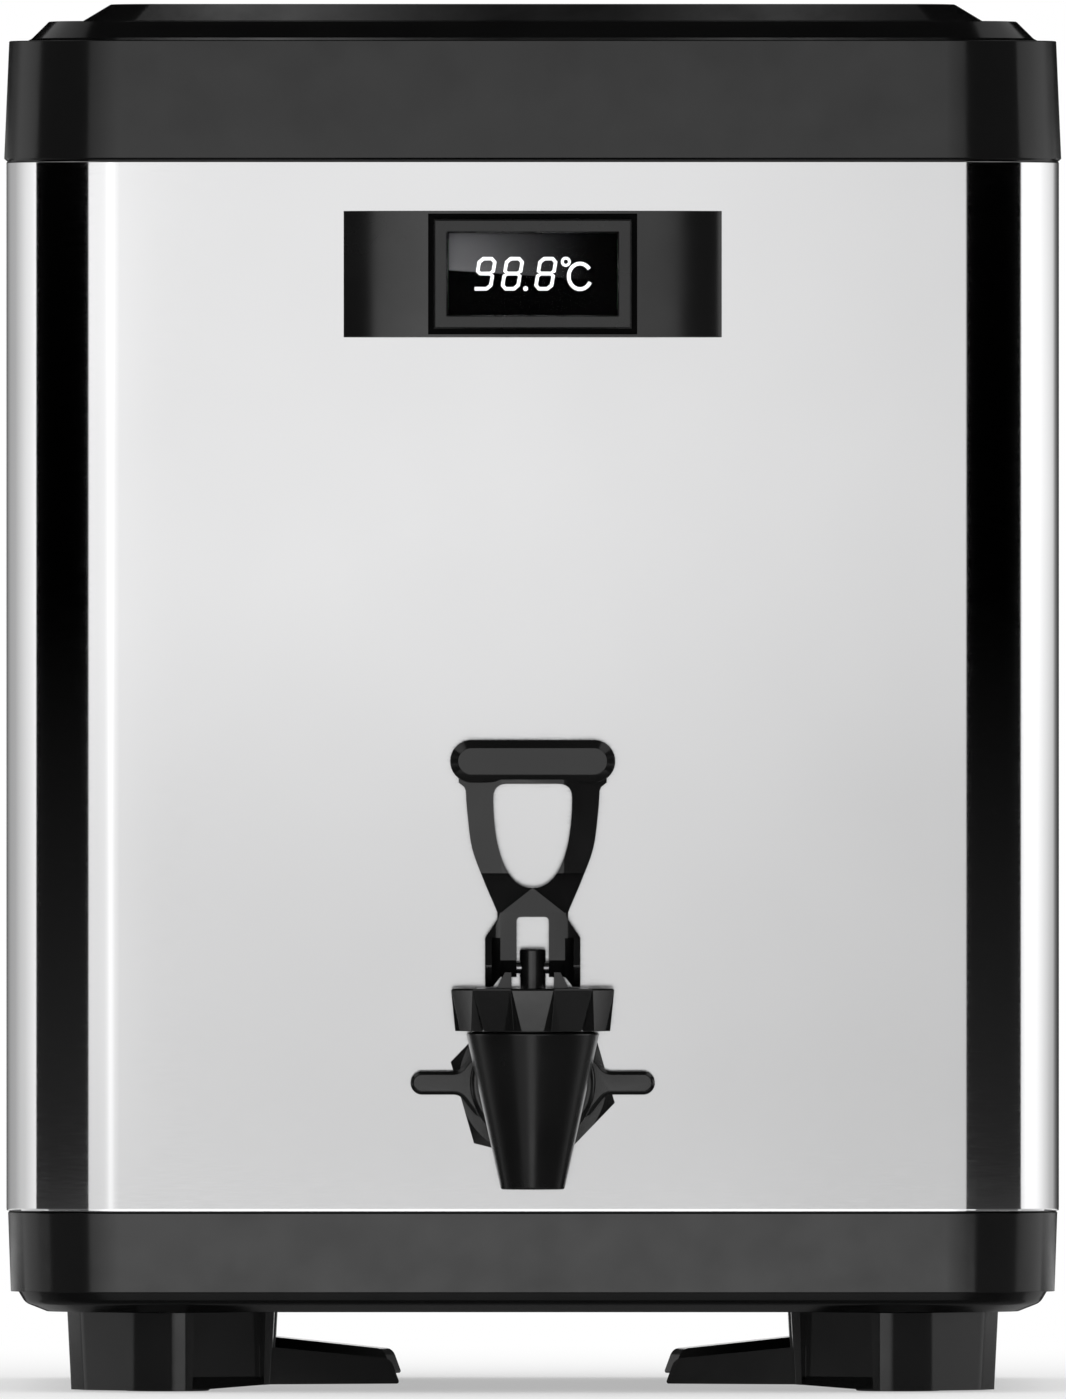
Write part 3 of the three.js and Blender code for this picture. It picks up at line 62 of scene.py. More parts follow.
# Sizes in millimetres, the same as the solids'
GAP = 0.3
HALF = 134.5
CORNER = 29.0
SHELL_LOW = 46.3
SHELL_TOP = 314.3
SHELL_INNER = 133.7
LIP_OUTER = 133.4
LIP_INNER = 130.9
TAP_Z = 79.3
DISPLAY_Z = 285.356
FOOT_OUTER = HALF - 15.9
FOOT_LOW = 0.3
FOOT_TOP = 20.2
TAP_REACH = 44.0
TAP_Y = -HALF - TAP_REACH
PIN_HOLE = 1.7
PIN_Z = 108.75
SEAT_Z = 334.1
COLLAR_TOP = 350.1
LID_TOP = 354.6
LID_HALF = 115.3
LID_LOW = 334.4
VENT_Y = 0.59 * LID_HALF
VENT_BORE = 3.3
HANDLE_BORE = 2.3
HANDLE_WELL = (67, 33, 12)  # half widths and corner
CORNER_STEPS = 20
ROUND_STEPS = 72
WELD = 1e-4

# Camera: straight on, a tenth of a degree down, far off as in the photograph
CAMERA_AWAY = 12.5
CAMERA_PITCH = math.radians(0.1)
FRONT_Y = (AXIS_Y - HALF) * MM
PIXEL_MM = 0.255
IMAGE_LONG = 1399
SENSOR = 36
CLIP_END = 400
LOOK = Vector((0.0000765, FRONT_Y, 0.1769))


def camera():
    data = bpy.data.cameras.new("camera")
    data.sensor_width = SENSOR
    data.lens = SENSOR * CAMERA_AWAY / (IMAGE_LONG * PIXEL_MM * MM)
    data.clip_end = CLIP_END
    made = bpy.data.objects.new("camera", data)
    made.location = LOOK + Vector((0, -math.cos(CAMERA_PITCH), math.sin(CAMERA_PITCH))) * CAMERA_AWAY
    made.rotation_euler = (QUARTER - CAMERA_PITCH, 0, 0)
    bpy.context.collection.objects.link(made)
    bpy.context.scene.camera = made


# Node materials
NOISE_SPAN = (0.3, 0.7)  # what a noise mostly keeps within
STEEL_GRAIN = (700.0, 3.0, (0.25, 0.25, 4.0))
BLACK = (0.0003, 0.0003, 0.0004)

# The display's painted sheen, a reflection painted into its face's colour, in the frame's metres: its lower
# edge's slope, and where it starts and ends
PAINTED_SHEEN_SLOPE = 0.068
PAINTED_SHEEN_EDGE = (0.28475, 0.28505)
PAINTED_SHEEN_RISE = (0.2869, 0.2886)
PAINTED_SHEEN_FADE = (-0.0211, 0.0179)


def calculate(tree, operation, *values):
    """A math node over numbers and sockets."""
    node = tree.nodes.new("ShaderNodeMath")
    node.operation = operation
    for socket, value in zip(node.inputs, values):
        if isinstance(value, (int, float)):
            socket.default_value = value
        else:
            tree.links.new(value, socket)
    return node.outputs["Value"]


def times(tree, first, second):
    return calculate(tree, "MULTIPLY", first, second)


def carry(tree, value, start, end, low=0.0, high=1.0):
    """A value between start and end, carried over to the range from low to high."""
    node = tree.nodes.new("ShaderNodeMapRange")
    for key, number in (("From Min", start), ("From Max", end), ("To Min", low), ("To Max", high)):
        node.inputs[key].default_value = number
    tree.links.new(value, node.inputs["Value"])
    return node.outputs["Result"]


class Nodes:
    """A material's node tree, with short calls for the nodes used here."""

    def __init__(self, name, **settings):
        self.material = bpy.data.materials.new(name)
        self.material.use_nodes = True
        self.tree = self.material.node_tree
        self.shader = self.tree.nodes["Principled BSDF"]
        self.fill(self.shader, settings)
        self.place = self.add("ShaderNodeTexCoord").outputs["Object"]

    def fill(self, node, values):
        for key, value in values.items():
            node.inputs[key.replace("_", " ")].default_value = value

    def add(self, kind, **values):
        node = self.tree.nodes.new(kind)
        self.fill(node, values)
        return node

    def placed(self, kind, vector=None, **values):
        """A node that reads the place on the piece."""
        node = self.add(kind, **values)
        self.tree.links.new(vector or self.place, node.inputs["Vector"])
        return node

    def drive(self, socket, source):
        self.tree.links.new(source, self.shader.inputs[socket])

    def noise(self, scale, detail=4.0, stretch=None):
        vector = stretch and self.placed("ShaderNodeMapping", Scale=stretch).outputs["Vector"]
        node = self.placed("ShaderNodeTexNoise", vector, Scale=scale, Detail=detail, Roughness=0.55)
        return node.outputs["Fac"]

    def colour(self, factor, dark, light, span=NOISE_SPAN):
        ramp = self.add("ShaderNodeValToRGB")
        for element, spot, shade in zip(ramp.color_ramp.elements, span, (dark, light)):
            element.position = spot
            element.color = (*shade, 1)
        self.tree.links.new(factor, ramp.inputs["Fac"])
        self.drive("Base Color", ramp.outputs["Color"])
        return ramp.outputs["Color"]

    def rough(self, factor, low, high):
        self.drive("Roughness", carry(self.tree, factor, *NOISE_SPAN, low, high))

    def bump(self, *layers):
        """Bumps of (height, strength, distance), each on the one before."""
        normal = None
        for height, strength, distance in layers:
            node = self.add("ShaderNodeBump", Strength=strength, Distance=distance)
            self.tree.links.new(height, node.inputs["Height"])
            if normal:
                self.tree.links.new(normal, node.inputs["Normal"])
            normal = node.outputs["Normal"]
        self.drive("Normal", normal)


def surface(name, shade, dark, light, smudge, rough, *bumps, **settings):
    """Noise in the colour and in the roughness, and bumps of (noise, strength, distance)."""
    n = Nodes(name, **settings)
    n.colour(n.noise(*shade), dark, light)
    n.rough(n.noise(*smudge), *rough)
    n.bump(*[(n.noise(*noise), strength, distance) for noise, strength, distance in bumps])
    return n.material


def steel(name, dark, light, rough_low, rough_high, grain, waves):
    return surface(name, (9.0, 3.0), dark, light, STEEL_GRAIN, (rough_low, rough_high),
                   ((14.0, 1.0), waves, 0.0004), (STEEL_GRAIN, grain, 0.00002), Metallic=1.0)


def plastic(name, dark, light, rough_low, rough_high, ior, peel, grain):
    return surface(name, (34.0, 5.0), (dark,) * 3, (light,) * 3, (60.0,), (rough_low, rough_high),
                   ((260.0, 2.0), peel, 0.00008), ((5200.0, 2.0), grain, 0.00004), IOR=ior)


def foam():
    n = Nodes("foam", Roughness=0.92)
    n.colour(n.noise(80.0), (0.74, 0.64, 0.36), (0.84, 0.76, 0.5))
    n.bump((n.placed("ShaderNodeTexVoronoi", Scale=900.0).outputs["Distance"], 0.5, 0.0006))
    return n.material


def board():
    n = Nodes("circuit_board")
    tracks = n.placed("ShaderNodeTexBrick", Scale=220.0, Mortar_Size=0.012).outputs["Fac"]
    n.colour(tracks, (0.02, 0.16, 0.05), (0.09, 0.3, 0.1), (0.2, 0.8))
    n.rough(n.noise(200.0), 0.32, 0.46)
    n.bump((tracks, 0.2, 0.00004))
    return n.material


def display_face_painted_sheen():
    """The display's black face, with a painted reflection: a paler sheen painted into its colour over the
    upper left, cut off by a sloping edge.
    """
    n = Nodes("display_face_painted_sheen", IOR=1.03)
    tree = n.tree
    split = n.placed("ShaderNodeSeparateXYZ").outputs
    edge = carry(tree, calculate(tree, "MULTIPLY_ADD", split["X"], PAINTED_SHEEN_SLOPE, split["Z"]), *PAINTED_SHEEN_EDGE)
    fade = carry(tree, split["X"], *PAINTED_SHEEN_FADE, 1.0, 0.0)
    rise = carry(tree, split["Z"], *PAINTED_SHEEN_RISE, 1.0, 0.9)
    # painted reflection: the sheen is mixed into the base colour, not reflected light
    sheen = times(tree, times(tree, edge, rise), times(tree, fade, fade))
    n.colour(sheen, BLACK, (0.225, 0.225, 0.233), (0.0, 1.0))
    n.rough(n.noise(90.0), 0.5, 0.6)
    n.bump((n.noise(900.0), 0.03, 0.00002))
    return n.material


def lit_digit():
    n = Nodes("lit_digit", Emission_Strength=0.6)
    n.drive("Emission Color", n.colour(n.noise(500.0), (0.9, 0.92, 0.93), (1.0, 1.0, 1.0)))
    n.rough(n.noise(700.0), 0.5, 0.6)
    return n.material


MATERIAL = {
    "shell_steel": steel("polished_steel", (0.75, 0.75, 0.755), (0.79, 0.79, 0.795), 0.05, 0.09, 0.04, 0.02),
    "liner_steel": steel("satin_steel", (0.66, 0.665, 0.67), (0.73, 0.735, 0.74), 0.22, 0.34, 0.35, 0.1),
    "screw_steel": steel("machined_steel", (0.52, 0.52, 0.53), (0.64, 0.64, 0.65), 0.25, 0.38, 0.4, 0.1),
    "black_plastic": plastic("gloss_black", 0.0028, 0.0038, 0.12, 0.19, 1.52, 0.1, 0.03),
    "foot_plastic": plastic("foot_black", 0.006, 0.008, 0.16, 0.22, 1.52, 0.12, 0.12),
    "handle_plastic": plastic("handle_black", 0.011, 0.016, 0.4, 0.5, 1.48, 0.1, 0.5),
    "display_plastic": plastic("display_black", 0.005, 0.007, 0.22, 0.28, 1.64, 0.08, 0.02),
    "frame_plastic": plastic("frame_black", 0.008, 0.011, 0.24, 0.3, 1.52, 0.05, 0.2),
    "tap_gloss": plastic("tap_black", 0.005, 0.007, 0.12, 0.18, 1.58, 0.1, 0.03),
    "cone": plastic("cone_black", 0.005, 0.007, 0.22, 0.28, 1.58, 0.1, 0.06),
    # channel: painted shade, a darker and duller black for the faces in the recess round the frame seat,
    # standing in for the shadow there
    "channel": plastic("channel_painted_shade", 0.0015, 0.0025, 0.6, 0.7, 1.2, 0.05, 0.1),
    "tap_satin": plastic("satin_black", 0.006, 0.009, 0.18, 0.24, 1.6, 0.1, 0.1),
    "black_rubber": surface("black_rubber", (120.0, 5.0), (0.012,) * 3, (0.022,) * 3, (420.0,),
                            (0.6, 0.75), ((2600.0, 3.0), 0.4, 0.0001), IOR=1.45),
    "silicone": surface("silicone", (70.0,), (0.70, 0.68, 0.64), (0.78, 0.76, 0.72), (300.0,), (0.38, 0.5),
                        ((1500.0,), 0.12, 0.00006), IOR=1.41, Subsurface_Weight=0.3, Subsurface_Scale=0.003),
    "foam": foam(),
    "board": board(),
    # the display's face carries a painted reflection, its paler sheen
    "lcd": display_face_painted_sheen(),
    "window_plastic": surface("smoked_window", (40.0,), (0.97, 0.97, 0.98), (1.0, 1.0, 1.0), (60.0,),
                              (0.0, 0.01), ((50.0, 2.0), 0.01, 0.00002), IOR=1.05, Transmission_Weight=1.0),
}
DIGIT = lit_digit()
SLOTS = {part["node"]: part["material_slot"] for part in frame["record"]["subparts"]}


# Meshes
STRAIGHT = 0.02  # a bend this small stays as it is
SIDE_SHARE = 0.49  # how much of a side one round may take


def fillet(points, closed=False, step=math.radians(9)):
    """Rounds a polyline. Each point is (a, b, ..., radius), where a and b are its plane and any values
    between them and the radius are carried along."""
    out = []
    count = len(points)
    for i, point in enumerate(points):
        radius = point[-1]
        here = point[:-1]
        if not radius or (not closed and i in (0, count - 1)):
            out.append(here)
            continue
        before, after = points[i - 1][:-1], points[(i + 1) % count][:-1]
        middle = Vector(here[:2])
        back, on = Vector(before[:2]) - middle, Vector(after[:2]) - middle
        angle = back.angle(on)
        bend = math.pi - angle
        if bend < STRAIGHT:
            out.append(here)
            continue
        reach = min(radius / math.tan(angle / 2), back.length * SIDE_SHARE, on.length * SIDE_SHARE)
        true_radius = reach * math.tan(angle / 2)
        centre = middle + (back.normalized() + on.normalized()).normalized() * (
            true_radius / math.sin(angle / 2))
        steps = max(2, math.ceil(bend / step))
        first = middle + back.normalized() * reach
        side = 1 if (back.x * on.y - back.y * on.x) < 0 else -1
        start_share, end_share = reach / back.length, reach / on.length
        for k in range(steps + 1):
            share = k / steps
            spot = centre + Matrix.Rotation(side * bend * share, 2) @ (first - centre)
            rest = []
            for own, prior, coming in zip(here[2:], before[2:], after[2:]):
                start = own + (prior - own) * start_share
                end = own + (coming - own) * end_share
                rest.append(start * (1 - share) ** 2 + 2 * own * share * (1 - share) + end * share ** 2)
            out.append((spot.x, spot.y, *rest))
    return out


def concentric(half):
    return CORNER - (HALF - half)


def square_ring(half_x, half_y, corner, z, steps=CORNER_STEPS):
    ring = []
    for quarter in range(4):
        sign_x = 1 if quarter in (0, 3) else -1
        sign_y = 1 if quarter < 2 else -1
        for i in range(steps + 1):
            angle = (quarter + i / steps) * QUARTER
            ring.append((sign_x * (half_x - corner) + corner * math.cos(angle),
                         sign_y * (half_y - corner) + corner * math.sin(angle), z))
    return ring


def loft(rings, closed=False):
    """Points and faces of a skin through rings of equal count, capped with single faces when open."""
    count = len(rings[0])
    points = [p for ring in rings for p in ring]
    faces = []
    for i in range(len(rings) if closed else len(rings) - 1):
        here, there = i * count, (i + 1) % len(rings) * count
        for j in range(count):
            onward = (j + 1) % count
            faces.append((here + j, here + onward, there + onward, there + j))
    if not closed:
        last = (len(rings) - 1) * count
        faces.append(tuple(range(count))[::-1])
        faces.append(tuple(last + j for j in range(count)))
    return points, faces


def square_loft(name, profile, closed=False, steps=CORNER_STEPS):
    """A profile of (half width, height, corner, fillet) carried round a square."""
    rings = [square_ring(half, half, corner, z, steps) for half, z, corner in fillet(profile, closed)]
    return mesh_of(name, loft(rings, closed))


def outer(half, z, radius=0.0):
    return (half, z, concentric(half), radius)


def lathe(name, profile, steps=ROUND_STEPS, closed=False):
    """A profile of (radius, height, fillet) turned about +Z. Points on the axis close it."""
    rings = []
    for radius, z in fillet(profile, closed):
        radius = max(radius, 0.0)
        rings.append([(radius * math.cos(a), radius * math.sin(a), z)
                      for a in (2 * math.pi * k / steps for k in range(steps))])
    return mesh_of(name, loft(rings, closed))


def mesh_of(name, shape):
    points, faces = shape
    data = bpy.data.meshes.new(name)
    data.from_pydata([Vector(p) for p in points], [], faces)
    data.validate()
    made = bpy.data.objects.new(name, data)
    bpy.context.collection.objects.link(made)
    clean(made)
    return made


def clean(obj):
    work = bmesh.new()
    work.from_mesh(obj.data)
    bmesh.ops.remove_doubles(work, verts=work.verts, dist=WELD)
    bmesh.ops.dissolve_degenerate(work, edges=work.edges, dist=WELD)
    bmesh.ops.recalc_face_normals(work, faces=work.faces)
    work.to_mesh(obj.data)
    work.free()


def move(obj, *matrices):
    for matrix in matrices:
        obj.data.transform(matrix)
    return obj


def shift(x=0.0, y=0.0, z=0.0):
    return Matrix.Translation((x, y, z))


def turn(degrees, axis):
    return Matrix.Rotation(math.radians(degrees), 4, axis)


def settle(obj):
    """Applies obj's modifiers to its mesh."""
    bpy.context.view_layer.update()
    graph = bpy.context.evaluated_depsgraph_get()
    data = bpy.data.meshes.new_from_object(obj.evaluated_get(graph))
    obj.modifiers.clear()
    obj.data = data


def combine(obj, tools, operation):
    for tool in tools:
        step = obj.modifiers.new("solid", "BOOLEAN")
        step.operation = operation
        step.solver = "EXACT"
        step.object = tool
    settle(obj)
    for tool in tools:
        bpy.data.objects.remove(tool)
    clean(obj)
    return obj


def cut(obj, *tools):
    return combine(obj, tools, "DIFFERENCE")


def join(obj, *tools):
    return combine(obj, tools, "UNION")


def meet(obj, tool):
    return combine(obj, [tool], "INTERSECT")


def merge(obj, *others):
    """Adds the others' faces to obj's mesh as they are."""
    work = bmesh.new()
    for part in (obj, *others):
        work.from_mesh(part.data)
    work.to_mesh(obj.data)
    work.free()
    for part in others:
        bpy.data.objects.remove(part)


def flatten(obj, angle=0.4):
    """Joins faces that lie in one plane, so that an edge round runs along whole edges."""
    work = bmesh.new()
    work.from_mesh(obj.data)
    bmesh.ops.dissolve_limit(work, angle_limit=math.radians(angle), verts=work.verts, edges=work.edges)
    work.to_mesh(obj.data)
    work.free()


def soften(obj, width, angle=28.0, segments=3):
    """Rounds the edges sharper than angle."""
    step = obj.modifiers.new("edges", "BEVEL")
    step.width = width
    step.segments = segments
    step.limit_method = "ANGLE"
    step.angle_limit = math.radians(angle)
    step.miter_outer = "MITER_ARC"
    settle(obj)


def polygon_area(points):
    return sum(a[0] * b[1] - b[0] * a[1] for a, b in zip(points, points[1:] + points[:1])) / 2


def prism(name, outline, depth):
    """A flat outline of (a, b) points in X and Y, pushed up +Z by depth."""
    if polygon_area(outline) < 0:
        outline = outline[::-1]
    rings = [[(a, b, z) for a, b in outline] for z in (0.0, depth)]
    return mesh_of(name, loft(rings))


FRONT = turn(90, "X")  # X and Z drawn as X and Y
SIDE = turn(90, "Z") @ turn(90, "X")  # Y and Z drawn as X and Y


def front_prism(name, outline, y0, y1):
    return move(prism(name, outline, y1 - y0), FRONT, shift(y=y1))


def side_prism(name, outline, x0, x1):
    return move(prism(name, outline, x1 - x0), SIDE, shift(x=x0))


def block(name, x0, x1, y0, y1, z0, z1):
    outline = [(x0, y0), (x1, y0), (x1, y1), (x0, y1)]
    return move(prism(name, outline, z1 - z0), shift(z=z0))


def rod(name, radius, start, end, steps=ROUND_STEPS):
    return lathe(name, [(0, start, 0), (radius, start, 0), (radius, end, 0), (0, end, 0)], steps)


def place(obj, body, slot, *nodes, angle=32.0, material=None):
    """Turns a finished mesh into a piece: metres, smooth faces, material, body and nodes."""
    obj.data.transform(shift(0, AXIS_Y * MM, 0) @ Matrix.Scale(MM, 4))
    obj.data.shade_smooth()
    obj.data.set_sharp_from_angle(angle=math.radians(angle))
    even = obj.modifiers.new("normals", "WEIGHTED_NORMAL")
    even.keep_sharp = True
    even.weight = 80
    obj.data.materials.clear()
    obj.data.materials.append(material or MATERIAL[slot])
    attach(obj, body)
    if nodes:
        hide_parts(*nodes)
    return obj


# Shell, base, collar and liner
def shell():
    skin = square_loft("steel_shell", [
        outer(HALF, SHELL_LOW + 0.75, 0),
        outer(HALF, SHELL_TOP, 0.6),
        outer(SHELL_INNER, SHELL_TOP, 0),
        outer(SHELL_INNER, SHELL_LOW, 0),
        outer(HALF - 0.06, SHELL_LOW, 0.1),
    ], True, 28)
    tap_hole = move(rod("hole", 10.6, 0, 6), turn(90, "X"), shift(0, -HALF + 3, TAP_Z))
    display_hole = block("hole", -38.6, 38.6, -HALF - 3, -HALF + 3, DISPLAY_Z - 13.1, DISPLAY_Z + 13.1)
    cut(skin, tap_hole, display_hole)
    place(skin, "dispenser", "shell_steel", "outer_shell")


def base():
    top, face = HALF - 0.4, HALF - 1.1
    tray = square_loft("base_tray_dressed", [
        (face - 70, 20.5, 20.0, 0),
        outer(face - 9.3, 20.5, 0.8),
        outer(face - 3.7, 22.7, 3.5),
        outer(face - 2.0, 25.55, 0.15),
        outer(face, 25.65, 0.12),
        outer(top, 45.95, 0.3),
        outer(LIP_OUTER, 46.0, 0.15),
        outer(LIP_OUTER, 56.0, 0.4),
        outer(LIP_INNER, 56.0, 0.4),
        outer(LIP_INNER, 23.5, 2.0),
        (LIP_INNER - 67, 23.5, 20.0, 0),
    ])
    place(tray, "dispenser", "black_plastic", "base_tray")


def collar():
    ring = square_loft("top_collar_dressed", [
        outer(134.6, 314.6, 0.1),
        outer(135.08, 315.05, 0.2),
        outer(133.8, 345.1, 0.3),
        outer(129.3, 345.1, 0.3),
        outer(128.0, 345.75, 0.3),
        outer(123.6, COLLAR_TOP, 0.7),
        (115.9, COLLAR_TOP, 14.6, 0.6),
        (115.9, SEAT_Z, 14.6, 0.8),
        (104.3, SEAT_Z, 31.3, 0.6),
        (104.3, 331.4, 31.3, 0.4),
        (119.5, 331.4, 18.2, 0.4),
        (119.5, 341.5, 18.2, 1.0),
        outer(LIP_INNER, 341.5, 1.5),
        outer(LIP_INNER, 304.6, 0.4),
        outer(LIP_OUTER, 304.6, 0.4),
        outer(LIP_OUTER, 314.6, 0.1),
    ], True)
    place(ring, "dispenser", "black_plastic", "top_collar")


def liner():
    half, corner, under, flange_top = 105.0, 32.0, 59.8, 331.1
    inner = half - 1.0
    pan = square_loft("steel_liner", [
        (20.0, under, 10.0, 0),
        (half, under, corner, 9.0),
        (half, flange_top - 1.0, corner, 0.8),
        (half + 13, flange_top - 1.0, corner + 13, 0.2),
        (half + 13, flange_top, corner + 13, 0.2),
        (inner, flange_top, corner - 1, 1.8),
        (inner, under + 1, corner - 1, 8.0),
        (20.0, under + 1, 10.0, 0),
    ])
    port = move(rod("hole", 7.0, 0, 20), turn(90, "X"), shift(0, -half + 10, TAP_Z))
    cut(pan, port)
    place(pan, "dispenser", "liner_steel", "inner_liner")


# Feet: drawn at the front left, from the corner's outer faces
FOOT_FLAT, FOOT_END, FOOT_SWEEP = 30.0, 52.0, 18.0  # where the front's flat ends, and the sweep's end
SCREW_IN = 25.0
ARM_ROOT, ARM_THICK, ARM_TURN, ARM_IN = -7.0, 7.0, 20, 19.0


def foot_plan(inset, low, relief):
    """Faceted outer corner, short flat, swept sides and the inner end, which is a little off the ground."""
    end = FOOT_END - inset
    half = [(17.2, 3.5 + inset, low, 6.0), (26.9, inset, low, 4.0), (FOOT_FLAT, inset, low, 0.8),
            (end, FOOT_SWEEP, low + relief, 0.9)]
    mirrored = [(b, a, z, radius) for a, b, z, radius in reversed(half)]
    line = fillet([*half, (end, end, low + relief, 1.0), *mirrored], True, math.radians(15))
    return [(a - FOOT_OUTER, b - FOOT_OUTER, z) for a, b, z in line]


def foot_panel(start, end):
    """A cutter for the shallow panel on one swept side."""
    run = math.hypot(end[0] - start[0], end[1] - start[1])
    heading = math.atan2(end[1] - start[1], end[0] - start[0])
    section = [(-2, -2), (-1, -2), (1, FOOT_LOW + 1.75), (2, FOOT_LOW + 3.5), (2, FOOT_TOP + 2),
               (-2, FOOT_TOP + 2)]
    tool = side_prism("tool", section, 2.5, run - 2.5)
    return move(tool, Matrix.Rotation(heading, 4, "Z"), shift(start[0] - FOOT_OUTER, start[1] - FOOT_OUTER))


def gusset_arm(mirrored):
    outline = fillet([
        (ARM_ROOT, FOOT_LOW + 1.4, 0),
        (34.7, FOOT_LOW + 1.4, 0.6),
        (32.2, FOOT_LOW + 7.8, 3.0),
        (ARM_ROOT, FOOT_LOW + 11.6, 0),
    ], True)
    back = 0.0 if mirrored else ARM_THICK
    arm = front_prism("arm", outline, back - ARM_THICK, back)
    if mirrored:
        move(arm, turn(90 - ARM_TURN, "Z"), shift(ARM_IN, FOOT_END))
    else:
        move(arm, turn(ARM_TURN, "Z"), shift(FOOT_END, ARM_IN))
    return move(arm, shift(-FOOT_OUTER, -FOOT_OUTER))


def foot(name, quarter_turns):
    rings = [foot_plan(0.5, FOOT_LOW, 1.4), foot_plan(-0.5, FOOT_TOP, 0)]
    body = mesh_of(name + "_foot_dressed", loft(rings))
    centre = SCREW_IN - FOOT_OUTER
    holes = [
        rod("hole", 11.3, FOOT_LOW - 2, 2.8),
        rod("hole", 4.3, FOOT_LOW - 2, 6.0, 32),
        rod("hole", 2.3, FOOT_LOW - 2, FOOT_TOP + 2, 24),
    ]
    for hole in holes:
        move(hole, shift(centre, centre))
    panels = (foot_panel((FOOT_FLAT, 0), (FOOT_END, FOOT_SWEEP)),
              foot_panel((FOOT_SWEEP, FOOT_END), (0, FOOT_FLAT)))
    cut(body, *panels, *holes)
    join(body, gusset_arm(False), gusset_arm(True))
    flatten(body)
    soften(body, 0.4, 28, 2)
    move(body, turn(90 * quarter_turns, "Z"))
    place(body, "dispenser", "foot_plastic", name + "_foot")
    pad = lathe(name + "_pad_dressed", [
        (0, 0, 0), (7.6, 0, 0.3), (8.0, 0.45, 0.2), (8.8, 0.45, 0.2), (9.2, 0, 0.3), (11, 0, 0.6),
        (11, 2.5, 0.3), (0, 2.5, 0)])
    move(pad, shift(centre, centre), turn(90 * quarter_turns, "Z"))
    place(pad, "dispenser", "black_rubber", name + "_pad")


# Lid
def rounded_pocket(half_x, half_y, corner, low, high, foot_round):
    """A cutter with upright sides and a rounded foot."""
    rings = []
    steps = 5
    for k in range(steps + 1):
        angle = QUARTER * k / steps
        inset = foot_round * (1 - math.sin(angle))
        rings.append(square_ring(half_x - inset, half_y - inset, max(corner - inset, 0.5),
                                 low + foot_round * (1 - math.cos(angle)), 10))
    rings.append(square_ring(half_x, half_y, corner, high, 10))
    return mesh_of("pocket", loft(rings))


def lid():
    half, corner = LID_HALF, 14.0
    cover = square_loft("lid_cover_dressed", [
        (30.0, LID_TOP - 3, 6.0, 0),
        (104.9, LID_TOP - 3, 7.3, 2.0),
        (112.3, 347.1, 11.0, 2.0),
        (112.3, LID_LOW, 11.0, 0.6),
        (half, LID_LOW, corner, 0.6),
        (half, COLLAR_TOP, corner, 0.8),
        (half - 7.4, LID_TOP, corner - 3.7, 1.2),
        (30.0, LID_TOP, 6.0, 0),
    ])
    well_x, well_y, well_corner = HANDLE_WELL
    well = rounded_pocket(well_x + 8, well_y + 3, well_corner, LID_TOP - 16, LID_TOP - 0.02, 2.0)
    vent_well = move(rod("well", 14.6, LID_TOP - 11.6, LID_TOP - 0.02), shift(y=VENT_Y))
    join(cover, well, vent_well)
    pocket = rounded_pocket(*HANDLE_WELL, LID_TOP - 13, LID_TOP + 2, 2.5)
    vent_pocket = move(rod("pocket", 11.6, LID_TOP - 8.6, LID_TOP + 2), shift(y=VENT_Y))
    vent_hole = move(rod("hole", VENT_BORE, LID_TOP - 20, LID_TOP, 32), shift(y=VENT_Y))
    pins = [handle_pin(side, 57.7, 72.3) for side in (-1, 1)]
    cut(cover, pocket, vent_pocket, vent_hole, *pins)
    flatten(cover, 0.2)
    soften(cover, 0.9, 40, 3)
    place(cover, "lid", "black_plastic", "lid_cover")

    plug = square_loft("lid_plug_dressed", [
        (20.0, 312.1, 10.0, 0),
        (102.9, 312.1, 29.0, 4.5),
        (102.9, 337.1, 29.0, 0.5),
        (112.0, 337.1, 10.7, 0.4),
        (112.0, 339.6, 10.7, 0.4),
        (100.4, 339.6, 26.5, 0.6),
        (100.4, 314.6, 26.5, 3.0),
        (20.0, 314.6, 10.0, 0),
    ])
    boss = move(lathe("boss", [(0, 312.1, 0), (5.9, 312.1, 0), (5.9, 342.7, 0.5), (0, 342.7, 0)]),
                shift(y=VENT_Y))
    bore = move(rod("bore", VENT_BORE, 300, 350, 32), shift(y=VENT_Y))
    join(plug, boss)
    cut(plug, bore)
    place(plug, "lid", SLOTS["lid_plug"], "lid_plug")

    gasket = square_loft("lid_gasket_dressed", [
        (103.2, LID_LOW, 29.3, 0.4),
        (110.2, LID_LOW, 36.3, 0.5),
        (111.4, 335.0, 37.5, 0.4),
        (110.2, 336.8, 36.3, 0.5),
        (103.2, 336.8, 29.3, 0.4),
    ], True)
    place(gasket, "lid", "silicone", "lid_gasket")


def handle_pin(side, inner, outer_end):
    return move(rod("pin", HANDLE_BORE, inner, outer_end, 32), turn(90 * side, "Y"), shift(0, 24.0, 349.1))


def handle():
    """The folded handle: a U of rounded bar, with two shallow grooves along its grip."""
    plan = fillet([
        (-63.0, 29.0, 5.0), (-63.0, -29.0, 6.0), (63.0, -29.0, 6.0), (63.0, 29.0, 5.0),
        (53.0, 29.0, 5.0), (53.0, -19.0, 5.0), (-53.0, -19.0, 5.0), (-53.0, 29.0, 5.0),
    ], True)
    bail = move(prism("lid_handle_dressed", plan, 7.0), shift(z=345.6))
    section = [(-38, 353.2), (-38, 352.2), (-37.2, 351.9), (37.2, 351.9), (38, 352.2), (38, 353.2)]
    grooves = [front_prism("groove", section, y - 0.5, y + 0.5) for y in (-25.6, -22.4)]
    cut(bail, *grooves, *[handle_pin(side, 50.0, 66.0) for side in (-1, 1)])
    flatten(bail)
    soften(bail, 1.3, 40, 4)
    place(bail, "handle", "handle_plastic", "lid_handle")


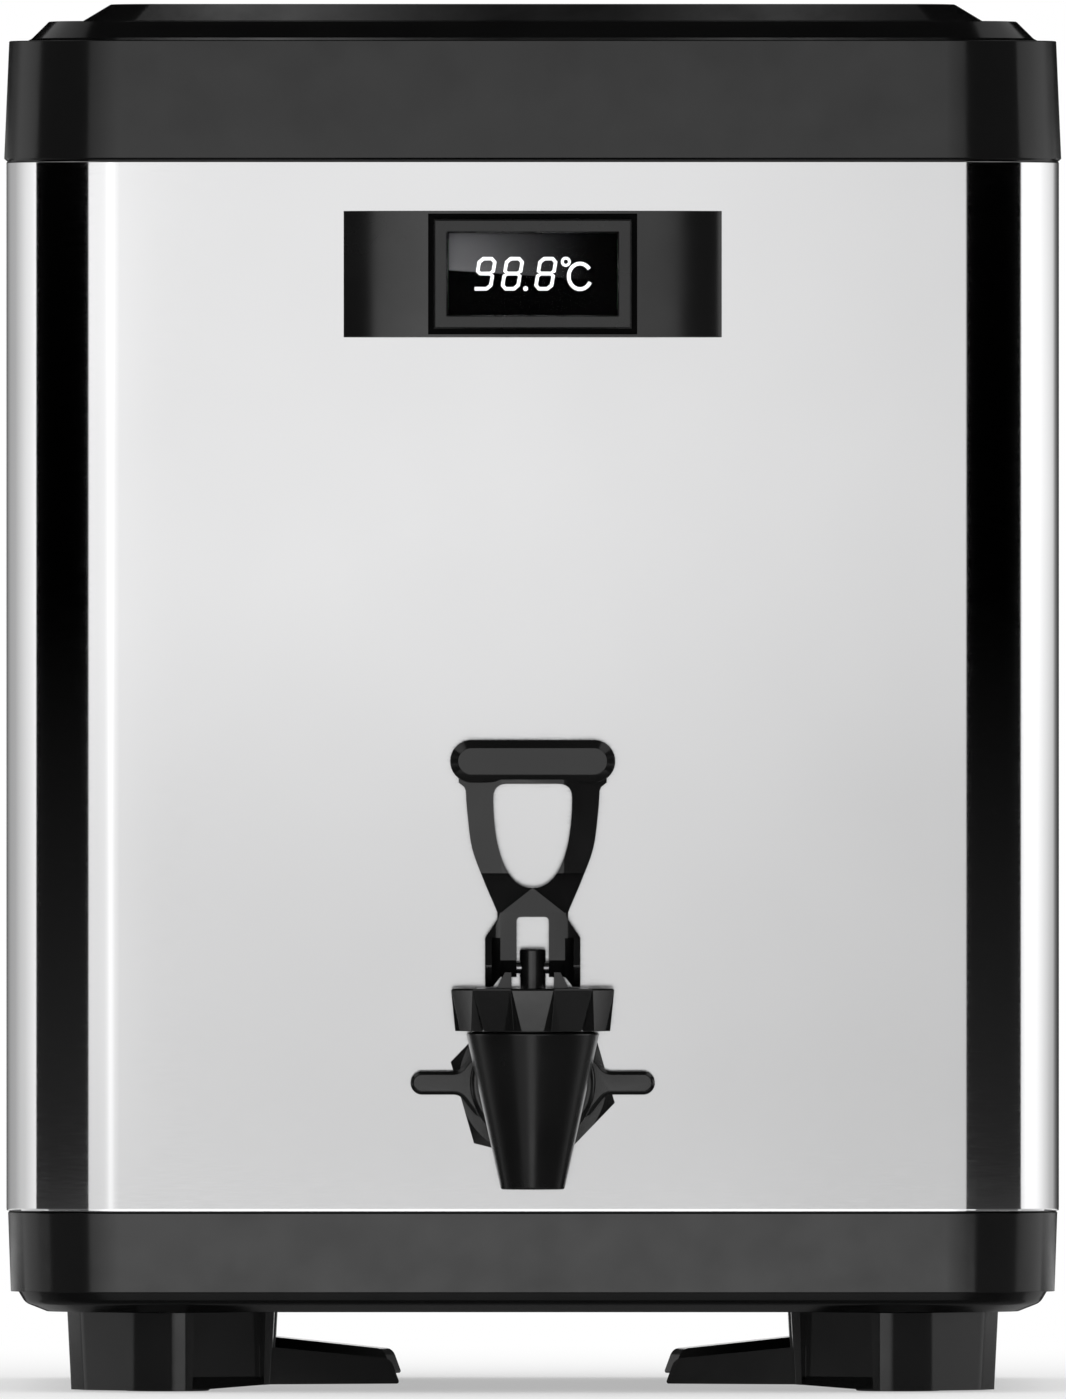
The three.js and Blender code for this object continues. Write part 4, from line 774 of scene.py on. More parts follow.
def vent():
    cap_low = LID_TOP - 8.6 + 1.8
    notch_out, notch_radius, count = 11.35, 0.8, 18
    cap = lathe("vent_cap_dressed", [
        (0, 316.1, 0), (2.7, 316.1, 0.5), (2.7, cap_low, 0.2), (9.0, cap_low, 0.3), (9.0, cap_low + 2, 0.3),
        (11.0, cap_low + 3, 0.4), (11.0, cap_low + 6, 0.9), (7.4, cap_low + 6, 0.7),
        (6.6, cap_low + 5.5, 0.7), (0, cap_low + 5.3, 0)])
    cut(cap, *[move(rod("notch", notch_radius, cap_low + 1, cap_low + 8, 12), shift(notch_out),
                    turn(360 / count * k, "Z")) for k in range(count)])
    soften(cap, 0.15, 40, 2)
    place(move(cap, shift(y=VENT_Y)), "vent", "black_plastic", "vent_cap")


# Display, drawn about the middle of its place on the shell's front
ON_FRONT = shift(0, -HALF, DISPLAY_Z)
FRAME_SEAT = (26.65, -7.0, 15.4)


def display():
    half, high_half = 48.2, 16.1
    bulge = 8.3
    plan = [(half, -GAP), (half, -1.5)]
    for i in range(1, ROUND_STEPS):
        share = math.cos(math.pi * i / ROUND_STEPS)
        plan.append((half * share, -9.8 + bulge * (0.59 * share ** 2 + 0.41 * share ** 12)))
    plan += [(-half, -1.5), (-half, -GAP)]
    face = move(prism("display_housing_dressed", plan, 2 * high_half), shift(z=-high_half))
    box = block("box", -38, 38, -0.6, 14, -12.5, 12.5)
    frame_seat = block("seat", -26.6, 26.6, -12, -7.2, -15.35, 15.35)
    window_seat = block("seat", -23.1, 23.1, -12, -5.7, -12.0, 12.0)
    panel_way = block("way", -21.6, 21.6, -12, -3.4, -10.5, 10.5)
    hollow = block("hollow", -30.6, 30.6, -3.8, 16, -10.5, 10.5)
    join(face, box)
    cut(face, frame_seat, window_seat, panel_way, hollow)
    flatten(face, 0.05)
    soften(face, 0.6, 40, 3)
    # Faces in the frame seat's recess take the channel material: painted shade in the recess
    channel = [polygon.index for polygon in face.data.polygons
               if all(in_frame_seat(face.data.vertices[k].co) for k in polygon.vertices)]
    place(move(face, ON_FRONT), "dispenser", "display_plastic", "display_housing")
    face.data.materials.append(MATERIAL["channel"])
    for k in channel:
        face.data.polygons[k].material_index = 1

    ring = mesh_of("display_frame_dressed", frame_ring())
    move(ring, ON_FRONT)
    soften(ring, 0.12, 25, 2)
    place(ring, "dispenser", "frame_plastic", "display_frame")

    pane = block("display_window_dressed", -22.8, 22.8, -7.2, -6.0, -11.7, 11.7)
    soften(pane, 0.1, 40, 2)
    place(move(pane, ON_FRONT), "dispenser", "window_plastic", "display_window")

    panel = block("display_panel_dressed", -21.45, 21.45, -5.7, -3.7, -10.4, 10.4)
    soften(panel, 0.15, 40, 2)
    place(move(panel, ON_FRONT), "dispenser", "lcd", "lcd_panel")


def in_frame_seat(spot):
    half_x, y, half_z = FRAME_SEAT
    return abs(spot.x) < half_x and abs(spot.z) < half_z and spot.y < y


def frame_ring():
    rows = [
        (25.25, 14.0, -7.5), (25.25, 14.0, -9.9), (24.85, 13.6, -10.5), (22.0, 10.8, -10.5),
        (21.6, 10.45, -9.9), (21.6, 10.4, -7.5),
    ]
    rings = [[(x, y, z), (-x, y, z), (-x, y, -z), (x, y, -z)] for x, z, y in rows]
    return loft(rings, True)


# The reading's strokes, in the photograph's pixels
MIDDLE_PX, GROUND_PX = 532.7, 1393.3
TOP_PX, HALF_WAY_PX, LOW_PX = 258.9, 273.8, 289.0
FIGURE_WIDE, FIGURE_CUT, NOTCH, NOTCH_HALF = 15.6, 3.6, 3.0, 2.4
NINE_LEFT, EIGHTS_LEFT = 474.6, (502.0, 535.4)
POINT_PX = (525.6, 288.9)
DEGREE_PX, DEGREE_RADIUS = (565.8, 262.0), 3.6
LETTER_PX, LETTER_WIDE, LETTER_HIGH = (580.0, 276.6), 11.3, 12.8
LETTER_START, LETTER_END = math.radians(35), math.radians(333)
ROUND_PARTS = 24
LEAN = math.tan(math.radians(9.8))
STROKE = 0.5  # half width in millimetres
STROKE_Y = -5.78  # just in front of the panel
STROKE_FLAT = 0.2  # how much of its depth a stroke keeps
POINT_RADIUS = 0.62


def to_mm(px, py):
    return (px - MIDDLE_PX) * PIXEL_MM, (GROUND_PX - py) * PIXEL_MM - DISPLAY_Z


def figure_points():
    """The corners of an eight, in turn from the upper left."""
    wide, far = FIGURE_WIDE, FIGURE_WIDE - FIGURE_CUT
    above, below = HALF_WAY_PX - NOTCH_HALF, HALF_WAY_PX + NOTCH_HALF
    return [(FIGURE_CUT, TOP_PX), (far, TOP_PX), (wide, TOP_PX + FIGURE_CUT), (wide, above),
            (wide - NOTCH, HALF_WAY_PX), (wide, below), (wide, LOW_PX - FIGURE_CUT), (far, LOW_PX),
            (FIGURE_CUT, LOW_PX), (0, LOW_PX - FIGURE_CUT), (0, below), (NOTCH, HALF_WAY_PX), (0, above),
            (0, TOP_PX + FIGURE_CUT)]


def leaned(points, left):
    return [(left + x + (LOW_PX - py) * LEAN, py) for x, py in points]


def round_line(centre, wide, high, start, end, count):
    """Points round an oval from one angle toward another, a share of the way apart."""
    angles = [start + (end - start) * k / ROUND_PARTS for k in range(count)]
    return [(centre[0] + wide * math.cos(a), centre[1] + high * math.sin(a)) for a in angles]


def digits():
    """The reading, in plain seven-segment figures: strokes of (points, closed, share of the width)."""
    eight = figure_points()
    strokes = []
    for left in EIGHTS_LEFT:
        strokes.append((leaned(eight, left), True, 1.0))
        strokes.append((leaned([eight[11], eight[4]], left), False, 1.0))
    nine = [(0, LOW_PX), *eight[7::-1], *eight[:10:-1], eight[4]]
    strokes.append((leaned(nine, NINE_LEFT), False, 1.0))
    degree = round_line(DEGREE_PX, DEGREE_RADIUS, DEGREE_RADIUS, 0, 2 * math.pi, ROUND_PARTS)
    strokes.append((degree, True, 0.75))
    letter = round_line(LETTER_PX, LETTER_WIDE, -LETTER_HIGH, LETTER_START, LETTER_END, ROUND_PARTS + 1)
    strokes.append((letter, False, 1.0))
    data = bpy.data.curves.new("reading", "CURVE")
    data.dimensions = "3D"
    data.bevel_depth = STROKE
    data.bevel_resolution = 3
    data.use_fill_caps = True
    for points, closed, share in strokes:
        line = data.splines.new("POLY")
        line.points.add(len(points) - 1)
        for target, (px, py) in zip(line.points, points):
            x, z = to_mm(px, py)
            target.co = (x, STROKE_Y, z, 1)
            target.radius = share
        line.use_cyclic_u = closed
    made = bpy.data.objects.new("reading", data)
    bpy.context.collection.objects.link(made)
    bpy.context.view_layer.update()
    flat = bpy.data.meshes.new_from_object(made.evaluated_get(bpy.context.evaluated_depsgraph_get()))
    bpy.data.objects.remove(made)
    reading = bpy.data.objects.new("display_reading", flat)
    bpy.context.collection.objects.link(reading)
    dot_x, dot_z = to_mm(*POINT_PX)
    dot = lathe("dot", [(0, 0, 0), (POINT_RADIUS, 0, 0.1), (POINT_RADIUS, 0.3, 0.1), (0, 0.3, 0)], 24)
    move(dot, turn(90, "X"), shift(dot_x, STROKE_Y + 0.1, dot_z))
    move(reading, shift(y=-STROKE_Y), Matrix.Diagonal((1, STROKE_FLAT, 1, 1)), shift(y=STROKE_Y))
    merge(reading, dot)
    place(move(reading, ON_FRONT), "dispenser", "lcd", material=DIGIT)


# Tap. Pieces along the shank are drawn about +Z from the shell's face and turned to point forward.
ALONG = shift(0, -HALF, TAP_Z) @ turn(90, "X")
UPRIGHT = shift(0, TAP_Y, TAP_Z)
HEX_ACROSS, HEX_TURN = 37.3, 46


def hex_nut():
    radius = HEX_ACROSS / math.sqrt(3)
    outline = [(radius * math.cos(a), radius * math.sin(a))
               for a in (math.radians(60 * k) for k in range(6))]
    nut = move(prism("outlet_hex_nut_dressed", outline, 6.0), shift(z=2.6), turn(HEX_TURN, "Z"))
    crown = lathe("crown", [
        (0, 2.5, 0), (19.0, 2.5, 0), (21.8, 4.0, 0), (21.8, 7.2, 0), (18.6, 8.7, 0), (0, 8.7, 0)])
    meet(nut, crown)
    cut(nut, rod("bore", 10.3, 0, 10))
    soften(nut, 0.35, 25, 2)
    place(move(nut, ALONG), "dispenser", "tap_satin", "outlet_hex_nut")


def inward(line, amount):
    """A closed line that runs round to the left, moved inward."""
    out = []
    for k, spot in enumerate(line):
        here = Vector(spot)
        before = (here - Vector(line[k - 1])).normalized()
        after = (Vector(line[(k + 1) % len(line)]) - here).normalized()
        normal = Vector((-before.y - after.y, before.x + after.x)).normalized()
        reach = amount / max(0.5, normal.dot(Vector((-before.y, before.x))))
        out.append((spot[0] + normal.x * reach, spot[1] + normal.y * reach))
    return out


def wing_nut():
    low, high_end = 8.9, 21.9
    hub = lathe("wing_nut_dressed", [
        (10.3, low, 0), (16.0, low, 0.8), (16.0, high_end, 1.6), (7.9, high_end, 0.4),
        (7.9, 19.4, 0.2), (10.3, 19.4, 0.2)], closed=True)
    wings = []
    for side in (0, 180):
        top = fillet([
            (11.0, 9.5, 0), (14.6, 8.2, 3.0), (18.6, 3.0, 3.2), (31.1, 3.0, 2.98), (31.1, -3.0, 2.98),
            (18.6, -3.0, 3.2), (14.6, -8.2, 3.0), (11.0, -9.5, 0)], True, math.radians(8))[::-1]
        rings = [[(*spot, z) for spot in inward(top, inset)]
                 for inset, z in ((1.1, 12.4), (0.6, 12.65), (0, 13.4), (0, 17.4), (0.6, 18.15), (1.1, 18.4))]
        wings.append(move(mesh_of("wing", loft(rings)), turn(side, "Z")))
    join(hub, *wings)
    soften(hub, 0.3, 50, 2)
    place(move(hub, ALONG), "union_nut", "tap_satin", "wing_nut")


def spout():
    cone = lathe("tap_body_dressed", [
        (0, -26.8, 0), (6.4, -26.8, 0.3), (8.1, -26.8, 0.8), (17.0, 13.15, 0.6), (15.4, 13.15, 0.2),
        (15.4, 20.15, 0.4), (0, 20.15, 0)], 96)
    shank = move(lathe("shank", [
        (0, 17.6, 0), (9.7, 17.6, 0.3), (9.7, 19.6, 0.3), (7.6, 19.6, 0.4), (7.6, TAP_REACH, 0),
        (0, TAP_REACH, 0)]),
        shift(z=-TAP_REACH), turn(90, "X"))
    join(cone, shank)
    cavity = lathe("cavity", [
        (0, -30, 0), (6.0, -30, 0), (6.0, -7.1, 0.5), (10.5, -7.1, 0.5), (10.5, 24, 0), (0, 24, 0)])
    bore = move(rod("bore", 5.2, 10, TAP_REACH, 32), shift(z=-TAP_REACH), turn(90, "X"))
    cut(cone, cavity, bore)
    flatten(cone, 0.1)
    soften(cone, 0.3, 45, 2)
    place(move(cone, UPRIGHT), "dispenser", "tap_gloss", "tap_body", angle=40, material=MATERIAL["cone"])


BONNET_FACETS = 12


def bonnet_ring(radius, share, depth, z):
    """A ring of flats, each a share of its pitch wide, with a valley after each."""
    pitch = 2 * math.pi / BONNET_FACETS
    points = []
    for i in range(BONNET_FACETS):
        middle = i * pitch - QUARTER
        for half_way in (-0.5, 0.5):
            angle = middle + half_way * share * pitch
            points.append((radius * math.cos(angle), radius * math.sin(angle), z))
        valley = middle + pitch / 2
        points.append(((radius - depth) * math.cos(valley), (radius - depth) * math.sin(valley), z))
    return points


def bonnet():
    low, top = 13.45, 24.35
    cap = mesh_of("tap_bonnet_dressed", loft([
        bonnet_ring(19.9, 0.55, 1.7, low),
        bonnet_ring(21.4, 0.96, 0.0, top - 0.5),
        bonnet_ring(20.9, 0.96, 0.0, top),
    ]))
    lugs = []
    for side in (-1, 1):
        outline = [(side * a, b) for a, b in (
            (5.4, top - 1), (9.1, top - 1), (9.1, top), (7.1, top + 4.1), (5.4, top + 4.1))]
        lugs.append(front_prism("lug", outline, -5.5, -3.8))
    join(cap, *lugs)
    hollow = lathe("hollow", [
        (14.2, top - 0.4, 0), (19.6, top - 0.4, 0), (19.6, top + 1, 0), (14.2, top + 1, 0)], closed=True)
    cut(cap, rod("thread", 15.7, low - 2, top - 3), rod("hole", 3.6, top - 5, top + 2, 32), hollow)
    flatten(cap)
    soften(cap, 0.35, 22, 2)
    place(move(cap, UPRIGHT), "dispenser", "tap_gloss", "tap_bonnet")


def stem_and_pin():
    stem = lathe("valve_stem_dressed", [
        (0, -3.8, 0), (3.3, -3.8, 0.3), (3.3, 34.25, 0.6), (2.2, 34.25, 0.2), (2.0, 33.65, 0.2),
        (0, 33.65, 0)], 48)
    hole = move(rod("hole", PIN_HOLE, -6, 6, 24), turn(90, "Y"), shift(z=PIN_Z - TAP_Z))
    cut(stem, hole)
    soften(stem, 0.15, 45, 2)
    place(move(stem, UPRIGHT), "valve", "tap_satin", "valve_stem")
    pin = lathe("lever_pin_dressed", [
        (0, -11.8, 0), (1.4, -11.8, 0.3), (1.4, 11.8, 0.3), (0, 11.8, 0)], 32)
    move(pin, turn(90, "Y"), shift(z=PIN_Z - TAP_Z), UPRIGHT)
    place(pin, "valve", "screw_steel", "lever_pin")


def seat_cup():
    cup = lathe("seat_cup_dressed", [
        (0, -6.8, 0), (4.0, -6.8, 0.5), (7.1, -6.8, 0.4), (8.6, -5.3, 0.5), (8.6, -0.1, 0.5),
        (3.6, -0.1, 0.3), (3.6, -4.1, 0.3), (0, -4.1, 0)])
    place(move(cup, UPRIGHT), "valve", "silicone", "seat_cup")


def spline(points, count):
    """A Catmull-Rom curve through points of (a, b)."""
    padded = [points[0], *points, points[-1]]
    out = []
    spans = len(points) - 1
    for k in range(count + 1):
        t = min(k / count * spans, spans - 1e-9)
        i = int(t)
        u = t - i
        p0, p1, p2, p3 = padded[i:i + 4]
        out.append(tuple(
            0.5 * (2 * p1[d] + (p2[d] - p0[d]) * u + (2 * p0[d] - 5 * p1[d] + 4 * p2[d] - p3[d]) * u * u
                   + (3 * p1[d] - p0[d] - 3 * p2[d] + p3[d]) * u ** 3)
            for d in (0, 1)))
    return out


def bezier(p0, p1, p2, p3, count):
    out = []
    for step in range(count + 1):
        t = step / count
        a, b, c, d = (1 - t) ** 3, 3 * t * (1 - t) ** 2, 3 * t * t * (1 - t), t ** 3
        out.append(tuple(a * p0[k] + b * p1[k] + c * p2[k] + d * p3[k] for k in (0, 1)))
    return out


PIN_RISE = 5.1
NECK_LOW = 12.4
NECK = 14.1
GABLE = 19.6
LOOP_FOOT = 20.4
LOOP_TOP = 46.8
LOOP_HALF = 17.0
GRIP_HEIGHT = 10.9
GRIP_STEPS = 48
FLARE = 1.8
FORK_HALF = 12.1
FACE_HALF = 8.2
FORK_TOP = 7.7
FORK_FRONT = -5.5
ARM_FOOT_TOP = 24.1
CAM_RISE = 3.18  # millimetres for each radian
CAM_TURN = 75
CAM_STEPS = 24
FLANK = [(0, 0), (0.06, 0.1), (0.25, 0.43), (0.5, 0.8), (0.77, 0.95), (0.94, 1)]


def lever_front():
    """The lever's outline from the front, about its pin."""
    rise = LOOP_TOP - NECK
    flank = [(9.0 + out * (LOOP_HALF - 9.0), NECK + along * rise) for along, out in FLANK]
    right = spline(flank, 30)
    top = LOOP_TOP + GRIP_HEIGHT / 2
    flare = [(LOOP_HALF, LOOP_TOP - FLARE), (LOOP_HALF + 0.4, LOOP_TOP - 0.8),
             (LOOP_HALF + FLARE, LOOP_TOP + GAP), (LOOP_HALF + FLARE, top)]
    half = [(FORK_HALF, -PIN_RISE), (FORK_HALF, FORK_TOP), (9.0, NECK_LOW), *right, *flare]
    return half + [(-x, z) for x, z in reversed(half)]


def lever_hole():
    half_wide, turn_low = 10, LOOP_TOP - 3.5
    swell = LOOP_FOOT + (LOOP_TOP - LOOP_FOOT) * 0.42
    right = bezier((0, LOOP_FOOT), (7.3, LOOP_FOOT), (half_wide, swell), (half_wide, turn_low), 22)
    corner = bezier((half_wide, turn_low), (half_wide, LOOP_TOP - 1.2), (8.8, LOOP_TOP), (6.5, LOOP_TOP), 6)
    half = right + corner[1:]
    return half + [(-x, z) for x, z in reversed(half[1:])]


def lever_side():
    """The lever's outline from the side, with the cam that presses on the bonnet."""
    radius, half, thin = PIN_RISE - GAP, 5.5, 4.0
    cam = []
    for i in range(CAM_STEPS + 1):
        angle = math.radians(CAM_TURN) * i / CAM_STEPS
        reach = radius + CAM_RISE * angle
        cam.append((-reach * math.sin(angle) - CAM_RISE * math.cos(angle),
                    -reach * math.cos(angle) + CAM_RISE * math.sin(angle)))
    top = LOOP_TOP + GRIP_HEIGHT / 2
    return cam + [
        (-half, FORK_TOP), (-half, GABLE), (-thin, GABLE), (-thin, top), (thin, top), (thin, GABLE),
        (half, NECK), (half, -radius + half * 0.25), (half * 0.75, -radius)]


def arm_cutter(side, start, degrees, low, high):
    """What comes off one arm's front, between two heights, to slant it outward."""
    end = LOOP_HALF + FLARE + 2
    outline = [(0, -4.0), (side * start, -4.0),
               (side * end, -4.0 + (end - start) * math.tan(math.radians(degrees))),
               (side * end, -11.0), (0, -11.0)]
    return move(prism("cutter", outline, high - low), shift(z=low))


def lever():
    reach = 22.0
    front = FORK_FRONT
    blank, gable = (
        meet(front_prism(name, lever_front(), -reach, rear), side_prism("side", lever_side(), -21.0, 21.0))
        for name, rear in (("lever_dressed", reach), ("gable", 0)))
    meet(gable, front_prism("triangle", [(-8.0, NECK), (8.0, NECK), (0, LOOP_FOOT)], -reach, 0))
    for side in (-1, 1):
        cut(blank, arm_cutter(side, 0.3, 21, NECK, ARM_FOOT_TOP),
            arm_cutter(side, 8.0, 15, ARM_FOOT_TOP, LOOP_TOP + GRIP_HEIGHT / 2))
    join(blank, gable)
    hole = front_prism("hole", lever_hole(), -reach, reach)
    slot = front_prism("slot", fillet([
        (-4.1, -reach, 0), (4.1, -reach, 0), (4.1, 13.0, 1.1), (-4.1, 13.0, 1.1)], True), -reach, reach)
    heel = side_prism("heel", [(-reach, -reach), (reach, -reach), (reach, -2.3), (front + 3.3, -2.3),
                               (front, 2.0), (-reach, 2.0)], -FACE_HALF, FACE_HALF)
    toe = block("toe", -10.4, 10.4, -reach, front, -reach, FORK_TOP)
    wedge = front_prism("wedge", [(-10.4, -7.7), (10.4, -7.7), (10.4, -5.1), (FACE_HALF, -2.3),
                                  (-FACE_HALF, -2.3), (-10.4, -5.1)], -reach, reach)
    pin_hole = move(rod("pin_hole", PIN_HOLE, -reach, reach, 24), turn(90, "Y"))
    cut(blank, hole, slot, heel, toe, wedge, pin_hole)
    chamfers = []
    slope = 2.4 / (FORK_HALF - FACE_HALF)
    for side in (-1, 1):
        corner = [(side * 14.1, front - 2), (side * 14.1, front + 2.4 + 2 * slope),
                  (side * (FACE_HALF - 2 / slope), front - 2)]
        chamfers.append(move(prism("chamfer", corner, NECK - FORK_TOP), shift(z=FORK_TOP)))
        flute = [(side * FACE_HALF, front - 6), (side * FACE_HALF, front), (side * 10.4, front + 2.2),
                 (side * 10.4, front - 6)]
        chamfers.append(move(prism("flute", flute, FORK_TOP + 6.0), shift(z=-6.0)))
    cut(blank, *chamfers)
    flatten(blank)
    soften(blank, 0.8, 26, 3)
    join(blank, lever_grip())
    move(blank, shift(0, TAP_Y, PIN_Z))
    place(blank, "tap_lever", "tap_gloss", "lever", angle=36)


def lever_grip():
    """The T-bar: a stadium with a wide chamfer round its flat front."""
    straight = 21.0 - GRIP_HEIGHT / 2
    middle = LOOP_TOP + GRIP_HEIGHT / 2 + GAP
    rings = []
    front = [(2.2, -5.0), (2.05, -4.95), (1.9, -4.83), (0.25, -3.6), (0.08, -3.35), (0, -3.0)]
    rows = front + [(inset, -y) for inset, y in reversed(front)]
    for inset, y in rows:
        radius = GRIP_HEIGHT / 2 - inset
        ring = []
        for end_x, start in ((straight, -QUARTER), (-straight, QUARTER)):
            for k in range(GRIP_STEPS + 1):
                angle = start + math.pi * k / GRIP_STEPS
                ring.append((end_x + radius * math.cos(angle), y, middle + radius * math.sin(angle)))
        rings.append(ring)
    return mesh_of("grip", loft(rings))


# Carried-over solids keep their shape and get their slot's material
def dress_nodes():
    for name, node in frame["nodes"].items():
        if node.hide_render:
            continue
        material = MATERIAL[SLOTS[name]]
        for own in node.material_slots:
            own.material = material
        if not node.material_slots:
            node.data.materials.append(material)


# Studio: cards that only show in reflections, round the object as in the photograph's studio
def half_strength(tree, value, stops):
    """Half the strength that follows stops of (place, strength), because a ramp's colours end at 1."""
    low_end, high_end = stops[0][0], stops[-1][0]
    ramp = tree.nodes.new("ShaderNodeValToRGB")
    while len(ramp.color_ramp.elements) < len(stops):
        ramp.color_ramp.elements.new(0.5)
    for element, (spot, strength) in zip(ramp.color_ramp.elements, stops):
        element.position = (spot - low_end) / (high_end - low_end)
        element.color = (strength / 2, strength / 2, strength / 2, 1)
    tree.links.new(carry(tree, value, low_end, high_end), ramp.inputs["Fac"])
    return ramp.outputs["Color"]


def empty_material(name):
    material = bpy.data.materials.new(name)
    material.use_nodes = True
    tree = material.node_tree
    tree.nodes.clear()
    return material, tree, tree.nodes.new("ShaderNodeOutputMaterial").inputs["Surface"]


def glow(name, build):
    """A glowing material. The strength is a number, or a function of the tree and the place's X, Y and Z."""
    material, tree, out = empty_material(name)
    lamp = tree.nodes.new("ShaderNodeEmission")
    tree.links.new(lamp.outputs["Emission"], out)
    if isinstance(build, float):
        lamp.inputs["Strength"].default_value = build
        return material
    split = tree.nodes.new("ShaderNodeSeparateXYZ")
    tree.links.new(tree.nodes.new("ShaderNodeNewGeometry").outputs["Position"], split.inputs["Vector"])
    tree.links.new(build(tree, split.outputs), lamp.inputs["Strength"])
    return material


def across_and_up(across, up):
    """A strength with stops along X times one with stops along Z."""
    return lambda tree, spot: times(
        tree, times(tree, half_strength(tree, spot["X"], across), half_strength(tree, spot["Z"], up)), 4)


def along(axis, stops):
    """A strength with stops along one axis."""
    return lambda tree, spot: times(tree, half_strength(tree, spot[axis], stops), 2)


def round_corner(side, stops, high_stops=None):
    """A strength with stops by the angle from straight ahead, round the shell's corner on one side. It
    changes to a second list's between two heights where there is one."""

    def build(tree, spot):
        out = times(tree, calculate(tree, "SUBTRACT", spot["X"], side * CORNER_X), side)
        ahead = calculate(tree, "SUBTRACT", CORNER_Y, spot["Y"])
        angle = calculate(tree, "DEGREES", calculate(tree, "ARCTAN2", out, ahead))
        strength = half_strength(tree, angle, stops)
        if high_stops:
            more = calculate(tree, "SUBTRACT", half_strength(tree, angle, high_stops), strength)
            strength = calculate(tree, "MULTIPLY_ADD", more, carry(tree, spot["Z"], *ROUND_RISE), strength)
        return times(tree, strength, 2)

    return build


def sheet(name, points, faces, material):
    data = bpy.data.meshes.new(name)
    data.from_pydata([Vector(p) for p in points], [], faces)
    data.materials.append(material)
    made = bpy.data.objects.new(name, data)
    bpy.context.collection.objects.link(made)
    return made


def card(name, points, faces, material):
    """A sheet that shows in reflections only."""
    made = sheet(name, points, faces, material)
    made.visible_camera = False
    made.visible_diffuse = False
    made.visible_transmission = False
    made.visible_shadow = False


def upright_card(name, line, bottom, top, material):
    """A card that stands on a line of (x, y) points."""
    count = len(line)
    points = [(*spot, z) for z in (bottom, top) for spot in line]
    faces = [(k, k + 1, k + 1 + count, k + count) for k in range(count - 1)]
    card(name, points, faces, material)


def level_card(name, x0, x1, y0, y1, z, material):
    card(name, [(x0, y0, z), (x1, y0, z), (x1, y1, z), (x0, y1, z)], [(0, 1, 2, 3)], material)


def round_spot(side, degrees, radius):
    """A point round the shell's corner on one side, by its angle from straight ahead."""
    angle = math.radians(degrees)
    return side * (CORNER_X + radius * math.sin(angle)), CORNER_Y - radius * math.cos(angle)


def arc(side, start, end, inset=0.0):
    """A line of such points between two angles."""
    radius = ROUND_RADIUS - inset
    return [round_spot(side, start + (end - start) * k / ARC_STEPS, radius) for k in range(ARC_STEPS + 1)]


# The studio, in the frame's metres: the front panels' plane and ends, and the cards round the corners
PANEL_Y = -1.35
PANEL_LEFT, PANEL_RIGHT = -0.8816, 0.5823
CORNER_X = (HALF - CORNER) * MM
CORNER_Y = (AXIS_Y - HALF + CORNER) * MM
EDGE = 0.112
FLAG_RADIUS = 1.22
ROUND_RADIUS = 1.45
REAR_TURN = 184
DEEP_TURN = 100
ARC_STEPS = 24
ROOM_HALF, ROOM_REAR, CEILING = 1.7, 1.6, 1.35
FLOOR_REACH = 200.0

# Heights of the studio's zones, by what reflects them: the feet, the base, the body and the collar
BOTTOM, FEET, BASE, LOW, HIGH, TOP = -0.9, -0.3, -0.1, 0.0, 0.36, 0.56
ROUND_RISE = (0.04, 0.23)
MIDDLE_ACROSS = [(-0.112, 0.985), (-0.04, 1.0), (0.0, 0.985), (0.025, 0.97), (0.045, 0.95), (0.065, 0.925),
                 (0.086, 0.89), (0.104, 0.865), (0.583, 0.865)]
MIDDLE_UP = [(0.0, 0.785), (0.043, 0.79), (0.074, 0.805), (0.09, 0.832), (0.135, 0.877), (0.166, 0.934),
             (0.196, 0.983), (0.217, 1.012), (0.36, 1.012)]
WING_ACROSS = [(-0.882, 1.15), (-0.6, 1.15), (-0.45, 1.2), (-0.38, 1.35), (-0.33, 1.6), (-0.28, 1.6),
               (-0.2, 1.25), (-0.112, 1.15)]
WING_UP = [(0.0, 0.72), (0.03, 0.73), (0.12, 0.85), (0.28, 1.0), (0.36, 1.0)]
OUTER_ACROSS = [(-0.882, 0.52), (-0.676, 0.58), (-0.51, 0.69), (-0.362, 0.79), (-0.223, 0.89), (-0.105, 1.0),
                (0.087, 0.99), (0.141, 0.87), (0.28, 0.74), (0.43, 0.62), (0.583, 0.55)]
UPPER_UP = [(0.36, 1.135), (0.5, 1.135), (0.56, 0.98)]
LOWER_UP = [(BOTTOM, 0.03), (-0.175, 0.04), (-0.155, 1.9), (-0.11, 1.9), (-0.1, 1.95), (-0.04, 1.95),
            (0.0, 1.67)]
FLAG_UP = [(BOTTOM, 0.0), (-0.32, 0.0), (-0.28, 0.08), (-0.11, 0.08), (-0.1, 0.146), (-0.02, 0.146),
           (0.041, 0.022), (0.089, 0.014), (0.15, 0.006), (0.2, 0.0), (0.365, 0.0), (0.375, 0.086),
           (TOP, 0.086)]
LEFT_FLAGS = (86.0, 77.0, 93.5, 89.6)  # the angle where each zone's dark flag ends
RIGHT_FLAGS = (86.0, 78.4, 81.9, 78.5)
LEFT_ROUND = [(88, 1.25), (93, 1.1), (103, 0.92), (111.6, 0.74), (121, 0.68), (132, 0.495), (147, 0.41),
              (160, 0.22), (170, 0.1), (180, 0.08)]
LEFT_HIGH = [(88, 1.3), (93, 1.25), (103, 1.065), (111.6, 0.935), (121, 0.737), (132, 0.522), (147, 0.445),
             (160, 0.25), (170, 0.1), (180, 0.08)]
